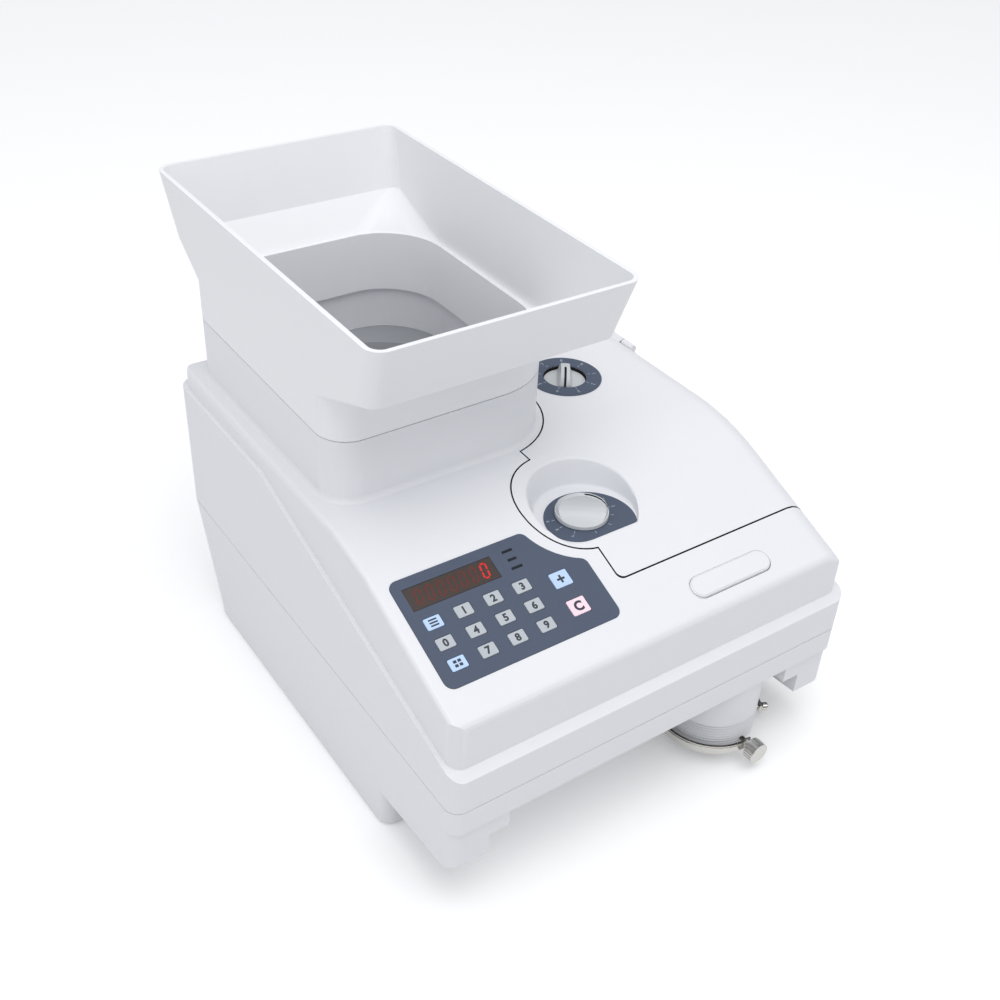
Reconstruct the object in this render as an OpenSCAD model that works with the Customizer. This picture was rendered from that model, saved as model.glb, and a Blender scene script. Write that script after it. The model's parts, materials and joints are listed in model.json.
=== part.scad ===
// Coin counting machine: a counter-top housing with a lift-off coin hopper, a swing-up
// access cover with two setting dials, a membrane keypad and a bag tube under the front.
// Millimetres. X runs to the right, Y to the back and Z up. Sizes are given from the
// middle of the housing, from its front face and from the floor.

/* [Housing] */
// Width of the housing across its skirt
body_w = 265; // [259:1:275]
// Depth of the housing from the front skirt to the back
body_d = 312; // [310:1:322]
// Height of the flat top
top_z = 169; // [167:0.5:173]
// Height of the seam between base and top cover
seam_z = 76; // [72:1:80]
// Height of the front panel's lower edge
front_edge_z = 129.5; // [127:0.5:132]
// Slope of the front panel in degrees
slope_deg = 21.8; // [20.5:0.1:23]
// Radius of the blend from the slope to the flat top
crown_r = 140; // [120:5:160]
// Wall thickness of the housing shells
wall = 2.5; // [2:0.1:2.8]
// How far the skirt stands out at the sides
side_step = 2.5; // [1.5:0.5:4]
// How far the skirt stands out at the front
front_step = 5; // [3:0.5:7]
// Radius of the housing's front corners
corner_r = 8; // [6:1:12]
// Radius of the housing's back corners
back_r = 12; // [8:1:16]
// Rounding of the left top edge
left_edge_r = 3; // [2:0.5:4]
// Rounding of the right top edge
right_edge_r = 18; // [14:1:20]
// Rounding of the front top edge
front_edge_r = 5; // [3:0.5:6]
// Width and depth of the shadow line under the seam
seam_line = 0.7; // [0.4:0.1:1]

/* [Skirt] */
// Height of the skirt's top at the front face
ledge_front_z = 97; // [92:0.5:98]
// Height of the skirt's top at the front corners
ledge_corner_z = 100.5; // [99:0.5:103]
// Height of the skirt's top at the back
ledge_top_z = 158; // [155:0.5:160]
// Depth at which the skirt's top turns level
ledge_flat_y = 200; // [190:1:208]

/* [Base] */
// Front of the block that the machine stands on
stand_front = 65.5; // [62:0.5:70]
// Back of that block at the floor
stand_back = 284; // [276:1:290]
// Height of the block above the floor, taken up by its rubber feet
foot_h = 1.5; // [1:0.1:2.5]
// Radius of a rubber foot
foot_r = 9; // [7:0.5:11]
// Thickness of the base's floor
base_floor = 3; // [2.5:0.1:4]
// Height of the front overhang's underside
overhang_z = 60; // [56:1:62]
// Width of a front leg
leg_w = 24; // [20:1:26]
// Height of a front leg's foot at the front
leg_front_z = 33; // [28:1:38]
// Height of a front leg's underside at the block
leg_back_z = 26; // [22:1:30]
// Width of the small block beside each front leg
tier_w = 12; // [9:0.5:13]
// Depth of the small block beside each front leg
tier_d = 12; // [8:1:13]
// Height of that block's underside
tier_z = 47; // [44:1:52]
// Set-back of the legs behind the base's front face
leg_step = 2; // [1:0.5:3]

/* [Hopper] */
// Width of the hopper's neck and of the collar below it
neck_w = 147; // [145:1:149]
// Depth of the hopper's neck and of the collar below it
neck_d = 170; // [168:1:172]
// Distance of the neck from the housing's left side
neck_side = 9.5; // [8.5:0.5:11]
// Distance of the neck's middle from the housing's back
neck_back = 92.5; // [92:0.5:94]
// Radius of the neck's left corners
neck_left_r = 18; // [14:1:24]
// Radius of the neck's right corners
neck_right_r = 44; // [36:1:48]
// Wall thickness of neck and tray
tray_wall = 2.6; // [2.2:0.1:3]
// Height of the seam between collar and hopper
collar_z = 206; // [200:1:212]
// Height at which the neck opens out
flare_z = 230; // [226:1:234]
// Height of the foot of the tray's upright walls
tray_z = 247; // [243:1:251]
// Height of the tray's rim
rim_z = 283; // [276:1:292]
// Width of the tray at its rim
rim_w = 153; // [150:1:158]
// Depth of the tray at its rim
rim_d = 245; // [238:1:252]
// Depth of the tray at the foot of its walls
tray_d = 222; // [216:1:228]
// How far the tray's middle lies in front of the neck's
tray_ahead = 10; // [8:0.5:12]
// Radius of the tray's corners
tray_r = 9; // [6:0.5:12]
// How deep the hopper's spigot sits in the collar
spigot_h = 12; // [8:1:16]
// Clearance round the spigot
spigot_gap = 0.4; // [0.3:0.05:0.6]
// Width of the visible seam under the hopper
hopper_gap = 0.5; // [0.3:0.1:0.8]

/* [Access cover] */
// Front edge of the access cover
cover_front_y = 39; // [37:0.5:41]
// Distance of the access cover from the keypad panel
cover_side = 10.5; // [9:0.5:12]
// How far the round bay in the cover's left edge lies behind the dial in it
bay_back = 6.5; // [5:0.5:8]
// How far the bay lies to the left of that dial
bay_left = 3.5; // [2.5:0.25:4.5]
// Radius of that bay
bay_r = 32; // [31.5:0.25:34]
// Distance of the cover from the collar
cover_neck_gap = 4.8; // [4.4:0.1:6]
// Width of the gap all round the cover
cover_gap = 0.9; // [0.5:0.1:1]
// Radius of a hinge knuckle
knuckle_r = 2.5; // [2.2:0.1:2.7]
// Radius of a hinge pin
hinge_pin_r = 1.2; // [1:0.05:1.3]
// Length of a hinge knuckle
knuckle_len = 10; // [8:0.5:11]

/* [Dials] */
// Distance of the thickness dial from the cover's left edge
thick_side = 8; // [6.5:0.5:9.5]
// Place of the thickness dial from the front
thick_y = 83.5; // [82.5:0.5:84.5]
// Height of the thickness dial's recess floor
thick_floor_z = 152.4; // [151.4:0.2:153.4]
// Radius of that recess at its floor
thick_floor_r = 28; // [27.5:0.1:28.5]
// Radius of that recess at the flat top
thick_mouth_r = 33.5; // [32.5:0.25:34]
// How far the recess lies in front of its knob
recess_ahead = 1.5; // [1:0.25:2]
// How far the recess lies to the right of its knob
recess_right = 1.5; // [1:0.25:2]
// Radius of the thickness dial's plate
thick_plate_r = 25.2; // [24:0.1:25.6]
// How far the plate's middle lies in front of its knob
plate_ahead = 6; // [5:0.25:6.5]
// How far the plate's middle lies to the right of its knob
plate_right = 1.5; // [1:0.25:2]
// Radius of the plate's right front corner
plate_corner = 3; // [2:0.25:4]
// Radius of the plate's left front corner
plate_sweep = 16; // [12:0.5:18]
// Radius of the thickness knob
thick_knob_r = 15; // [13:0.25:17]
// Height of the thickness knob
thick_knob_h = 10.5; // [9:0.25:13]
// Height of the diameter knob
diam_knob_h = 13; // [11:0.25:15]
// Distance of the diameter dial from the hopper's neck
diam_side = 35.5; // [33.5:0.5:39.5]
// Place of the diameter dial from the front
diam_y = 183; // [178:1:188]
// Radius of the diameter dial's plate
diam_plate_r = 22.3; // [20:0.1:24]
// Radius of the well that the diameter knob sits in
diam_well_r = 13.1; // [12:0.1:14]
// Depth of that well
diam_well_d = 6; // [4:0.5:7]
// Clearance round the diameter knob in its well
knob_gap = 0.5; // [0.3:0.1:0.8]
// Thickness of the dial plates
plate_t = 0.6; // [0.4:0.1:1]
// Height of a knob's round base
knob_base_h = 2; // [1.5:0.1:3]
// Thickness of the thickness knob's finger bar
thick_bar_t = 3.2; // [3:0.1:5]
// How far that bar's sides sweep out to the knob's base
thick_sweep = 11.5; // [9:0.5:12]
// Thickness of the diameter knob's finger bar
diam_bar_t = 5.4; // [4.5:0.1:6.5]
// How far that bar's sides sweep out to the knob's base
diam_sweep = 2.5; // [1.5:0.25:4]
// Radius of a knob's spindle
spindle_r = 3; // [2.5:0.1:3.5]
// Running clearance of pins, spindles and shafts
run_gap = 0.06; // [0.03:0.01:0.1]

/* [Keypad] */
// Distance of the keypad panel from the housing's left side
panel_side = 8; // [7:0.5:9]
// Width of the keypad panel
panel_w = 104; // [102:0.5:106]
// Lower edge of the panel along the slope
panel_s0 = 18.6; // [16:0.2:20]
// Height of the panel along the slope
panel_h = 62.4; // [60:0.2:63.4]
// Thickness of the panel
panel_t = 1.5; // [1.2:0.1:1.6]
// How far the panel stands above the slope
panel_proud = 0.3; // [0.1:0.05:0.5]
// Radius of the panel's corners
panel_r = 5; // [3:0.5:6]
// Distance of the panel from the access cover's bay
panel_bay_gap = 8; // [6:0.5:9]
// Radius of the panel's two corners beside the bay
panel_bay_r = 4.5; // [4:0.25:6]
// Width of the panel's rim that rests on the cover
panel_rest = 3; // [2:0.25:3.5]
// Width of a number key
key_w = 9.2; // [8:0.1:10]
// Height of a number key along the slope
key_h = 6.6; // [5.5:0.1:7.5]
// Sideways distance between keys
key_dx = 17.3; // [16.8:0.1:17.6]
// Distance between key rows
key_ds = 11.85; // [11:0.05:12]
// Distance of the left column of keys from the panel's edge
key_side = 11.4; // [10:0.1:12]
// Distance of the lowest row of keys from the panel's edge
key_rise = 11.1; // [10.4:0.1:11.9]
// Width of the two large keys
big_key_w = 10.6; // [9.5:0.1:12]
// Height of the two large keys
big_key_h = 9; // [8:0.1:10]
// Distance of the large keys from the panel's right edge
big_key_side = 19.4; // [18.5:0.1:20]
// Distance of the lower large key from the panel's lower edge
big_key_rise = 13.5; // [12.5:0.1:14.5]
// Distance between the large keys
big_key_ds = 17; // [16:0.1:18]
// How far a key stands above the panel
key_proud = 0.35; // [0.2:0.05:0.6]
// Thickness of a key cap
key_t = 1.9; // [1.7:0.1:2.1]
// Gap round a key
key_gap = 0.25; // [0.15:0.05:0.4]
// Travel of a key
key_travel = 0.5; // [0.3:0.05:0.5]
// Width of the display window
display_w = 51; // [46:0.5:54]
// Height of the display window along the slope
display_h = 12.8; // [11:0.2:14]
// Distance of the display's middle from the panel's left edge
display_side = 31; // [30:0.5:33]
// Distance of the display's middle from the panel's upper edge
display_drop = 12.3; // [11.5:0.1:13.5]

/* [Start button] */
// Length of the start button
button_l = 54; // [46:1:60]
// Width of the start button along the slope
button_w = 12.2; // [10:0.2:13]
// Distance of the button's middle from the housing's right side
button_side = 77.4; // [72:0.2:82]
// Place of the button's middle along the slope
button_s = 15.1; // [14:0.1:16]
// Gap round the button
button_gap = 0.8; // [0.5:0.1:1.5]
// How far the button stands above the slope
button_proud = 1.4; // [1:0.1:2]
// Travel of the button
button_travel = 2; // [1:0.1:2]

/* [Outlet] */
// Gap between the bag ring and the right leg
ring_leg_gap = 4.2; // [3:0.2:8]
// Gap between the bag ring and the block behind it
ring_back_gap = 1.2; // [0.8:0.1:2]
// Outer radius of the outlet tube
tube_r = 27.5; // [25:0.1:27.7]
// Bore radius of the outlet tube
tube_bore_r = 25; // [22:0.1:25.5]
// Height of the tube's lower end
tube_z = 10; // [7:0.5:10.5]
// Number of grooves round the tube
groove_n = 7; // [4:1:8]
// Distance between the grooves
groove_pitch = 2; // [1.8:0.05:2.2]
// Depth of a groove
groove_depth = 0.9; // [0.5:0.1:1.2]
// Gap between tube and bag ring
ring_gap = 3.4; // [2.5:0.1:4]
// Thickness of the bag ring
ring_t = 2.4; // [1.8:0.1:3]
// Height of the bag ring
ring_h = 6; // [5:0.5:8]
// Height of the ring's lower edge
ring_z = 10; // [9:0.25:12]
// Opening of the ring in degrees
ring_open_deg = 56; // [48:1:62]
// Direction of the thumbscrew from +X in degrees
screw_deg = -88; // [-94:1:-82]
// Radius of the thumbscrew's knob
screw_head_r = 6.5; // [5.5:0.25:7]
// Length of the thumbscrew's knob
screw_head_l = 7; // [5:0.5:9]
// Radius of the thumbscrew's shank
screw_r = 2; // [1.75:0.05:2.25]

/* [Drive] */
// Radius of the feed disc
disc_r = 66; // [62:0.5:66]
// Distance of the disc's axis from the housing's left side
disc_side = 83; // [82:0.5:85]
// Height of the deck's upper face
deck_z = 145; // [144:0.25:146]
// Thickness of the deck
deck_t = 3; // [2.5:0.1:4]
// Gap between disc and deck
disc_gap = 0.8; // [0.5:0.1:1.2]
// Radius of the disc's shaft
shaft_r = 6; // [5:0.25:7]
// Radius of the disc's pulley
disc_pulley_r = 35; // [30:0.5:38]
// Radius of the motor's pulley
motor_pulley_r = 10; // [9:0.25:12]
// Width of the pulleys
pulley_h = 10; // [8:0.5:11]
// Thickness of the drive belt
belt_t = 1.6; // [1.2:0.1:2]
// How far the motor's axis lies to the right of the disc's
motor_dx = 115; // [111:1:118]
// How far the motor's axis lies in front of the disc's
motor_dy = 14.5; // [12:0.5:18]
// Radius of the motor
motor_r = 28; // [24:0.5:29]
// Length of the motor
motor_l = 56; // [48:1:60]
// Front roller of the transport belt
track_y0 = 92; // [90:0.5:96]
// Back roller of the transport belt
track_y1 = 150; // [140:1:154]
// Radius of a transport roller
roller_r = 4; // [3.5:0.1:4.2]
// Width of the transport belt
track_belt_w = 12; // [9:0.5:14]
// Gap between the transport belt and the deck
coin_gap = 2.4; // [1.8:0.1:2.6]
// Distance of the feet and deck posts from the housing's sides
post_side = 27; // [26:0.5:30]
// Distance of the front feet from the block's front
post_front = 20; // [14:0.5:24]
// Distance of the back feet from the block's back
post_back = 22; // [18:0.5:22]

/* [Electrics] */
// Distance of board and power supply from the housing's left side
board_side = 26; // [24:1:34]
// Width of the main board
board_w = 96; // [80:1:104]
// Depth of the main board
board_d = 70; // [60:1:80]
// Distance of the main board from the block's front
board_front = 38; // [34:1:44]
// Height of the main board's standoffs
board_lift = 6; // [4:0.5:10]
// Width of the power supply's foot
supply_w = 86; // [80:1:96]
// Depth of the power supply's foot
supply_d = 36; // [30:1:40]
// Distance of the power supply from the block's back
supply_back = 78; // [76:1:84]
// Height of the transformer's core
core_h = 46; // [40:1:50]
// Width of the pocket in the back
pocket_w = 74; // [70:1:78]
// Height of the pocket in the back
pocket_h = 40; // [36:1:42]
// Distance of the pocket from the housing's right side
pocket_side = 24.5; // [20:0.5:28]
// Height of the pocket above the block's underside
pocket_lift = 14.5; // [12:0.5:18]

/* [Hidden] */
$fn = 64;
tiny = 0.01;
far = 400;
half_w = body_w / 2;
core_half = half_w - side_step;
core_back = body_d - side_step;
core_front = front_step;
slope_t = tan(slope_deg);
slope_c = cos(slope_deg);
crown_mid = core_front + (top_z - front_edge_z) / slope_t;
crown_len = crown_r * tan(slope_deg / 2);
crown_y = crown_mid + crown_len;
under_top = top_z - wall;

neck_x0 = neck_side - core_half;
neck_x1 = neck_x0 + neck_w;
neck_x = neck_x0 + neck_w / 2;
neck_y = body_d - neck_back;
tray_y = neck_y - tray_ahead;
neck_y0 = neck_y - neck_d / 2;
neck_y1 = neck_y + neck_d / 2;
cove_r = 3.6;

panel_x0 = panel_side - core_half;
panel_x1 = panel_x0 + panel_w;
panel_s1 = panel_s0 + panel_h;
key_x0 = panel_x0 + key_side;
key_s0 = panel_s0 + key_rise;
big_key_x = panel_x1 - big_key_side;
big_key_s = [panel_s0 + big_key_rise, panel_s0 + big_key_rise + big_key_ds];
display_x = panel_x0 + display_side;
display_s = panel_s1 - display_drop;
button_x = core_half - button_side;
cover_left_x = panel_x1 + cover_side;
thick_x = cover_left_x + thick_side;
diam_x = neck_x1 + diam_side;
bay_x = thick_x - bay_left;
bay_y = thick_y + bay_back;
panel_top = panel_proud;
panel_under = panel_proud - panel_t;
key_top = panel_top + key_proud;
key_under = key_top - key_t;
dome_top = key_under - key_travel - 0.1;
board_t = 1.6;
button_post_h = 5;

bay_s = (bay_y - core_front) / slope_c;
hinge_x = half_w - knuckle_r;
hinge_z = ledge_top_z + knuckle_r + 0.5;
hinge_first_y = ledge_flat_y + 15;
hinge_second_y = core_back - back_r - 18;
hinge_mid_y = [hinge_first_y, hinge_second_y];
knuckle_gap = 0.4;

disc_x = disc_side - core_half;
motor_x = disc_x + motor_dx;
motor_y = neck_y - motor_dy;
bracket_half_x = motor_r + 2;
bracket_half_y = motor_r + 6;
bracket_post_r = 4;
bridge_half = 22;
disc_t = 5;
disc_top = deck_z + 1;
disc_under = disc_top - disc_t;
bridge_z = disc_under - 17;
bridge_t = 4;
bush_r = shaft_r + 5;
pulley_z = bridge_z - 7 - pulley_h;
shaft_end_z = pulley_z - 3;
shaft_top_z = disc_under + 8;
motor_shaft_r = 3;
bracket_t = 3;
bracket_z = pulley_z - 5 - bracket_t;
post_r = 5;
bowl_z = disc_top + 3;
rail_gap = track_belt_w / 2 + 5;
rail_w = 4;
rail_h = coin_gap;

ring_r = tube_r + ring_gap;
tube_x = half_w - leg_w - ring_leg_gap - ring_r - ring_t;
tube_y = stand_front - ring_back_gap - ring_r - ring_t;
track_x = tube_x;
ring_mid_z = ring_z + ring_h / 2;
pin_r = 1.5;
tip_gap = 0.3;
ring_lip_deg = 5;
ring_start_deg = screw_deg + ring_open_deg;
screw_head_x = ring_r + ring_t + 2.2;
outline_front = tube_y + (screw_head_x + screw_head_l) * sin(screw_deg) - screw_head_r * cos(screw_deg);
outline_mid = (outline_front + tray_y + rim_d / 2) / 2;
pin_deg = ring_start_deg + ring_lip_deg;

thick_bar_deg = -36;
diam_bar_deg = -126;

rear_face = stand_back + 5;
pocket_x1 = half_w - pocket_side;
pocket_x0 = pocket_x1 - pocket_w;
pocket_z0 = foot_h + pocket_lift;
pocket_z1 = pocket_z0 + pocket_h;
inlet_w = 27.4;
inlet_h = 19.8;
inlet_rim = 4.3;
switch_w = 13;
switch_h = 19;
switch_rim = 2;
fit_gap = 0.3;
inlet_x = pocket_x0 + inlet_w / 2 + 6.3;
switch_x = pocket_x1 - switch_w / 2 - 10.5;
screw_body_r = 1.9;
screw_body_l = 14;
screw_cap_r = 3.6;
screw_cap_h = 0.9;
rear_mid_z = (pocket_z0 + pocket_z1) / 2;
rocker_deg = 8;
rocker_depth = 1;
rocker_pin_r = 1.2;

white = [0.93, 0.94, 0.96];
slate = [0.27, 0.31, 0.38];
grey = [0.75, 0.76, 0.78];
steel = [0.72, 0.72, 0.7];
dark = [0.12, 0.12, 0.13];
green = [0.1, 0.35, 0.22];

// Children stand on the sloped panel: x, then s up the slope, then n out of it
module on_slope(x, s, n = 0) {
    translate([0, core_front, front_edge_z])
        rotate([slope_deg, 0, 0])
            translate([x, s, n]) children();
}

// Flat rectangle with round corners, from corner to corner
module round_rect(x0, y0, x1, y1, r) {
    translate([x0 + r, y0]) square([x1 - x0 - 2 * r, y1 - y0]);
    translate([x0, y0 + r]) square([x1 - x0, y1 - y0 - 2 * r]);
    for (x = [x0 + r, x1 - r], y = [y0 + r, y1 - r]) translate([x, y]) circle(r);
}

// Flat capsule along X about its middle
module capsule(l, w) {
    square([l - w, w], center = true);
    for (x = [-1, 1]) translate([x * (l - w) / 2, 0]) circle(w / 2);
}

// Plan of the hopper's neck, grown or shrunk all round
module neck_plan(grow = 0) {
    rl = neck_left_r + grow;
    rr = neck_right_r + grow;
    x0 = neck_x0 - grow;
    x1 = neck_x1 + grow;
    y0 = neck_y0 - grow;
    y1 = neck_y1 + grow;
    translate([x0 + rl, y0]) square([x1 - x0 - rl - rr, y1 - y0]);
    translate([x0, y0 + rl]) square([rl + tiny, y1 - y0 - 2 * rl]);
    translate([x1 - rr - tiny, y0 + rr]) square([rr + tiny, y1 - y0 - 2 * rr]);
    for (y = [y0 + rl, y1 - rl]) translate([x0 + rl, y]) circle(rl);
    for (y = [y0 + rr, y1 - rr]) translate([x1 - rr, y]) circle(rr);
}

// Points on an arc in a plane, from one angle to another
function arc_points(mid, r, from, to, steps) = [
    for (k = [0 : steps]) mid + r * [cos(from + (to - from) * k / steps), sin(from + (to - from) * k / steps)]
];

// Side outline of the housing above the seam, with its top lowered by drop
function side_outline(inset, drop, low) =
    let (
        y0 = core_front + inset,
        y1 = core_back - inset,
        sunk = inset + drop,
        fe = max(front_edge_r - inset, 0.8),
        be = max(left_edge_r - inset, 0.8),
        front_z = front_edge_z + (y0 + fe - core_front) * slope_t - (sunk + fe) / slope_c,
        normal = 90 + slope_deg
    )
    concat(
        [[y0, low]],
        arc_points([y0 + fe, front_z], fe, 180, normal, 3),
        arc_points([crown_y, top_z - crown_r], crown_r - sunk, normal, 90, 6),
        arc_points([y1 - be, top_z - sunk - be], be, 90, 0, 3),
        [[y1, low]]
    );

// Stations across the housing, [x, drop of the top], rounding its two top edges
function stations(hw, left_r, right_r) = concat(
    [for (k = [0 : 3]) [-hw + left_r * (1 - cos(30 * k)), left_r * (1 - sin(30 * k))]],
    [for (k = [6 : -1 : 0]) [hw - right_r * (1 - cos(15 * k)), right_r * (1 - sin(15 * k))]]
);

// Side outlines joined across the housing into one solid
module lofted(inset, low, left_r, right_r, hw) {
    rows = stations(hw, left_r, right_r);
    rings = [for (row = rows) [for (p = side_outline(inset, row.y, low)) [row.x, p.x, p.y]]];
    m = len(rings[0]);
    n = len(rings);
    sides = [
        for (i = [0 : n - 2], j = [0 : m - 1])
            [i * m + j, i * m + (j + 1) % m, (i + 1) * m + (j + 1) % m, (i + 1) * m + j]
    ];
    first = [for (j = [m - 1 : -1 : 0]) j];
    last = [for (j = [0 : m - 1]) (n - 1) * m + j];
    polyhedron([for (ring = rings) each ring], concat(sides, [first], [last]), convexity = 4);
}

// Plan of the housing with its round corners
module body_plan(hw, y0, y1, fr, br) {
    translate([-hw, y0 + fr]) square([2 * hw, y1 - y0 - fr - br]);
    translate([fr - hw, y0]) square([2 * (hw - fr), fr + tiny]);
    translate([br - hw, y1 - br - tiny]) square([2 * (hw - br), br + tiny]);
    for (side = [-1, 1]) {
        translate([side * (hw - fr), y0 + fr]) circle(fr);
        translate([side * (hw - br), y1 - br]) circle(br);
    }
}

// Housing above the seam without the skirt, or its hollow when inset by the wall
module core_form(inset = 0, below = 0) {
    low = seam_z - below;
    hw = core_half - inset;
    intersection() {
        lofted(inset, low, max(left_edge_r - inset, 0.8), max(right_edge_r - inset, 0.8), hw);
        translate([0, 0, low - 1]) linear_extrude(far)
            body_plan(hw, core_front + inset, core_back - inset, corner_r - inset, back_r - inset);
    }
}

// Skirt of the top cover as a full block, up to its sloping ledge
module skirt_form(raise = 0) {
    low = seam_z - raise;
    intersection() {
        rotate([90, 0, 90]) linear_extrude(2 * half_w, center = true)
            polygon([[0, low], [0, ledge_front_z + raise], [front_step, ledge_corner_z + raise],
                     [ledge_flat_y, ledge_top_z + raise], [body_d, ledge_top_z + raise], [body_d, low]]);
        translate([0, 0, low]) linear_extrude(far) body_plan(half_w, 0, body_d, corner_r, back_r);
    }
}

// Plan of the access cover, grown by half its gap for the opening
module cover_plan(grow = 0) {
    corner = 4;
    x0 = cover_left_x - grow;
    y0 = cover_front_y - grow;
    neck_grow = cover_neck_gap - grow;
    arc_r = neck_right_r + neck_grow;
    arc_x = neck_x1 - neck_right_r;
    arc_y = neck_y0 + neck_right_r;
    difference() {
        union() {
            translate([x0 + corner, y0]) square([far, far]);
            translate([x0, y0 + corner]) square([far, far]);
            translate([x0 + corner, y0 + corner]) circle(corner);
            translate([bay_x, bay_y]) circle(bay_r + grow);
        }
        translate([arc_x, arc_y]) circle(arc_r);
        translate([arc_x - far, neck_y0 - neck_grow]) square([far, far]);
        translate([neck_x1 + neck_grow - far, arc_y]) square([far, far]);
    }
}

// Hollow fillet where the collar rises from the flat top, in two slopes
module collar_cove() {
    module slope(grow0, z0, grow1, z1) {
        hull() for (end = [[grow0, z0], [grow1, z1]]) translate([0, 0, top_z + end[1]])
            linear_extrude(tiny) neck_plan(end[0], $fn = 40);
    }
    slope(cove_r, -0.4, cove_r * 0.3, cove_r * 0.35);
    slope(cove_r * 0.35, cove_r * 0.25, -0.5, cove_r * 1.3);
}

module base_shell() {
    hw = half_w;
    module stand_form(inset, low) {
        r = corner_r - inset;
        br = back_r - inset;
        hull() for (side = [-1, 1]) {
            translate([side * (hw - inset - r), stand_front + inset + r, low])
                cylinder(r = r, h = seam_z - low, $fn = 32);
            translate([side * (hw - inset - br), stand_back - inset - br, low])
                cylinder(r = br, h = 1, $fn = 32);
            translate([side * (hw - inset - br), body_d - inset - br, seam_z - 1])
                cylinder(r = br, h = 1, $fn = 32);
        }
    }
    module front_form(inset, low) {
        translate([0, 0, low]) linear_extrude(seam_z - low)
            round_rect(-hw + inset, inset, hw - inset, stand_front + 30, corner_r - inset);
    }
    module leg(side) {
        y0 = leg_step;
        y1 = stand_front + corner_r + 2;
        difference() {
            intersection() {
                translate([side > 0 ? hw - leg_w : -hw, 0, 0]) cube([leg_w, y1, overhang_z + 1]);
                linear_extrude(far) round_rect(-hw, y0, hw, far, corner_r);
                rotate([90, 0, 90]) linear_extrude(far, center = true)
                    polygon([[y0, leg_front_z], [y1, leg_back_z], [y1, seam_z], [y0, seam_z]]);
            }
            translate([side > 0 ? hw - leg_w + wall : wall - hw, y0 + wall, 0])
                cube([leg_w - 2 * wall, y1, overhang_z - wall]);
        }
        translate([side > 0 ? hw - leg_w - tier_w : leg_w - hw - tiny, y0, tier_z])
            cube([tier_w + tiny, tier_d, overhang_z - tier_z + 1]);
    }
    color(white) difference() {
        union() {
            difference() {
                union() {
                    stand_form(0, foot_h);
                    front_form(0, overhang_z);
                    leg(-1);
                    leg(1);
                }
                translate([0, 0, tiny]) stand_form(wall, foot_h + base_floor - tiny);
                translate([0, 0, tiny]) front_form(wall, overhang_z + wall - tiny);
            }
            intersection() {
                stand_form(0, foot_h);
                translate([pocket_x0 - wall, rear_face - wall, pocket_z0 - wall])
                    cube([pocket_x1 - pocket_x0 + 2 * wall, far, pocket_z1 - pocket_z0 + 2 * wall]);
            }
        }
        translate([pocket_x0, rear_face, pocket_z0])
            cube([pocket_x1 - pocket_x0, far, pocket_z1 - pocket_z0]);
        translate([inlet_x, 0, rear_mid_z]) rotate([-90, 0, 0])
            linear_extrude(far) square([inlet_w + 2 * fit_gap, inlet_h + 2 * fit_gap], center = true);
        translate([switch_x, rear_face - 2 * wall, rear_mid_z]) rotate([-90, 0, 0])
            linear_extrude(far) square([switch_w + fit_gap, switch_h + fit_gap], center = true);
        translate([tube_x, tube_y, overhang_z - 1]) cylinder(r = tube_r + 0.25, h = wall + 2);
        for (p = foot_places()) translate([p.x, p.y, 0]) cylinder(r = screw_body_r + fit_gap, h = 12);
        translate([0, 0, seam_z - seam_line]) linear_extrude(far) difference() {
            square(3 * far, center = true);
            body_plan(hw - seam_line, seam_line, body_d - seam_line,
                      corner_r - seam_line, back_r - seam_line);
        }
    }
}

// Corners of the stand where a foot, a screw and a deck post share one axis
function foot_places() = [
    for (x = [post_side - half_w, half_w - post_side])
        for (y = [stand_front + post_front, stand_back - post_back]) [x, y]
];

module rubber_feet() {
    color(dark) for (p = foot_places()) translate([p.x, p.y, 0]) difference() {
        union() {
            cylinder(r1 = foot_r - 0.6, r2 = foot_r, h = 0.6);
            translate([0, 0, 0.6]) cylinder(r = foot_r, h = foot_h - 0.6);
        }
        translate([0, 0, -1]) cylinder(r = screw_cap_r + fit_gap, h = foot_h + 2);
    }
}

module base_screws() {
    slot_l = 2.4 * screw_body_r;
    slot_w = 0.5 * screw_body_r;
    color(steel) for (p = foot_places()) translate([p.x, p.y, foot_h - screw_cap_h]) {
        difference() {
            cylinder(r = screw_cap_r, h = screw_cap_h);
            translate([0, 0, -0.1]) linear_extrude(0.6 * screw_cap_h) {
                square([slot_l, slot_w], center = true);
                square([slot_w, slot_l], center = true);
            }
        }
        translate([0, 0, screw_cap_h - 0.1]) cylinder(r = screw_body_r, h = screw_body_l);
    }
}

// Points of an arc about a middle, from one direction to another
function arc(mid, r, from, to, steps = 6) = [
    for (k = [0 : steps]) mid + r * [cos(from + (to - from) * k / steps), sin(from + (to - from) * k / steps)]
];

// Plan of the keypad panel: a rounded oblong with a bite for the cover's bay, round at both ends
module panel_plan(grow = 0) {
    r = panel_r + grow;
    e = panel_bay_r + grow;
    left = panel_x0 - grow + r;
    right = panel_x1 + grow;
    low = panel_s0 - grow + r;
    high = panel_s1 + grow;
    bay = [bay_x, bay_s];
    bite = bay_r + panel_bay_gap - grow;
    side_mid = [right - e, bay_s - sqrt(pow(bite + e, 2) - pow(right - e - bay_x, 2))];
    top_mid = [bay_x - sqrt(pow(bite + e, 2) - pow(high - e - bay_s, 2)), high - e];
    side_to = atan2(bay.y - side_mid.y, bay.x - side_mid.x);
    top_to = atan2(bay.y - top_mid.y, bay.x - top_mid.x);
    polygon(concat(
        arc([left, low], r, 180, 270),
        arc([right - r, low], r, 270, 360),
        arc(side_mid, e, 0, side_to),
        arc(bay, bite, 180 + side_to, 180 + top_to, 14),
        arc(top_mid, e, top_to, 90),
        arc([left, high - r], r, 90, 180)
    ));
}

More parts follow.
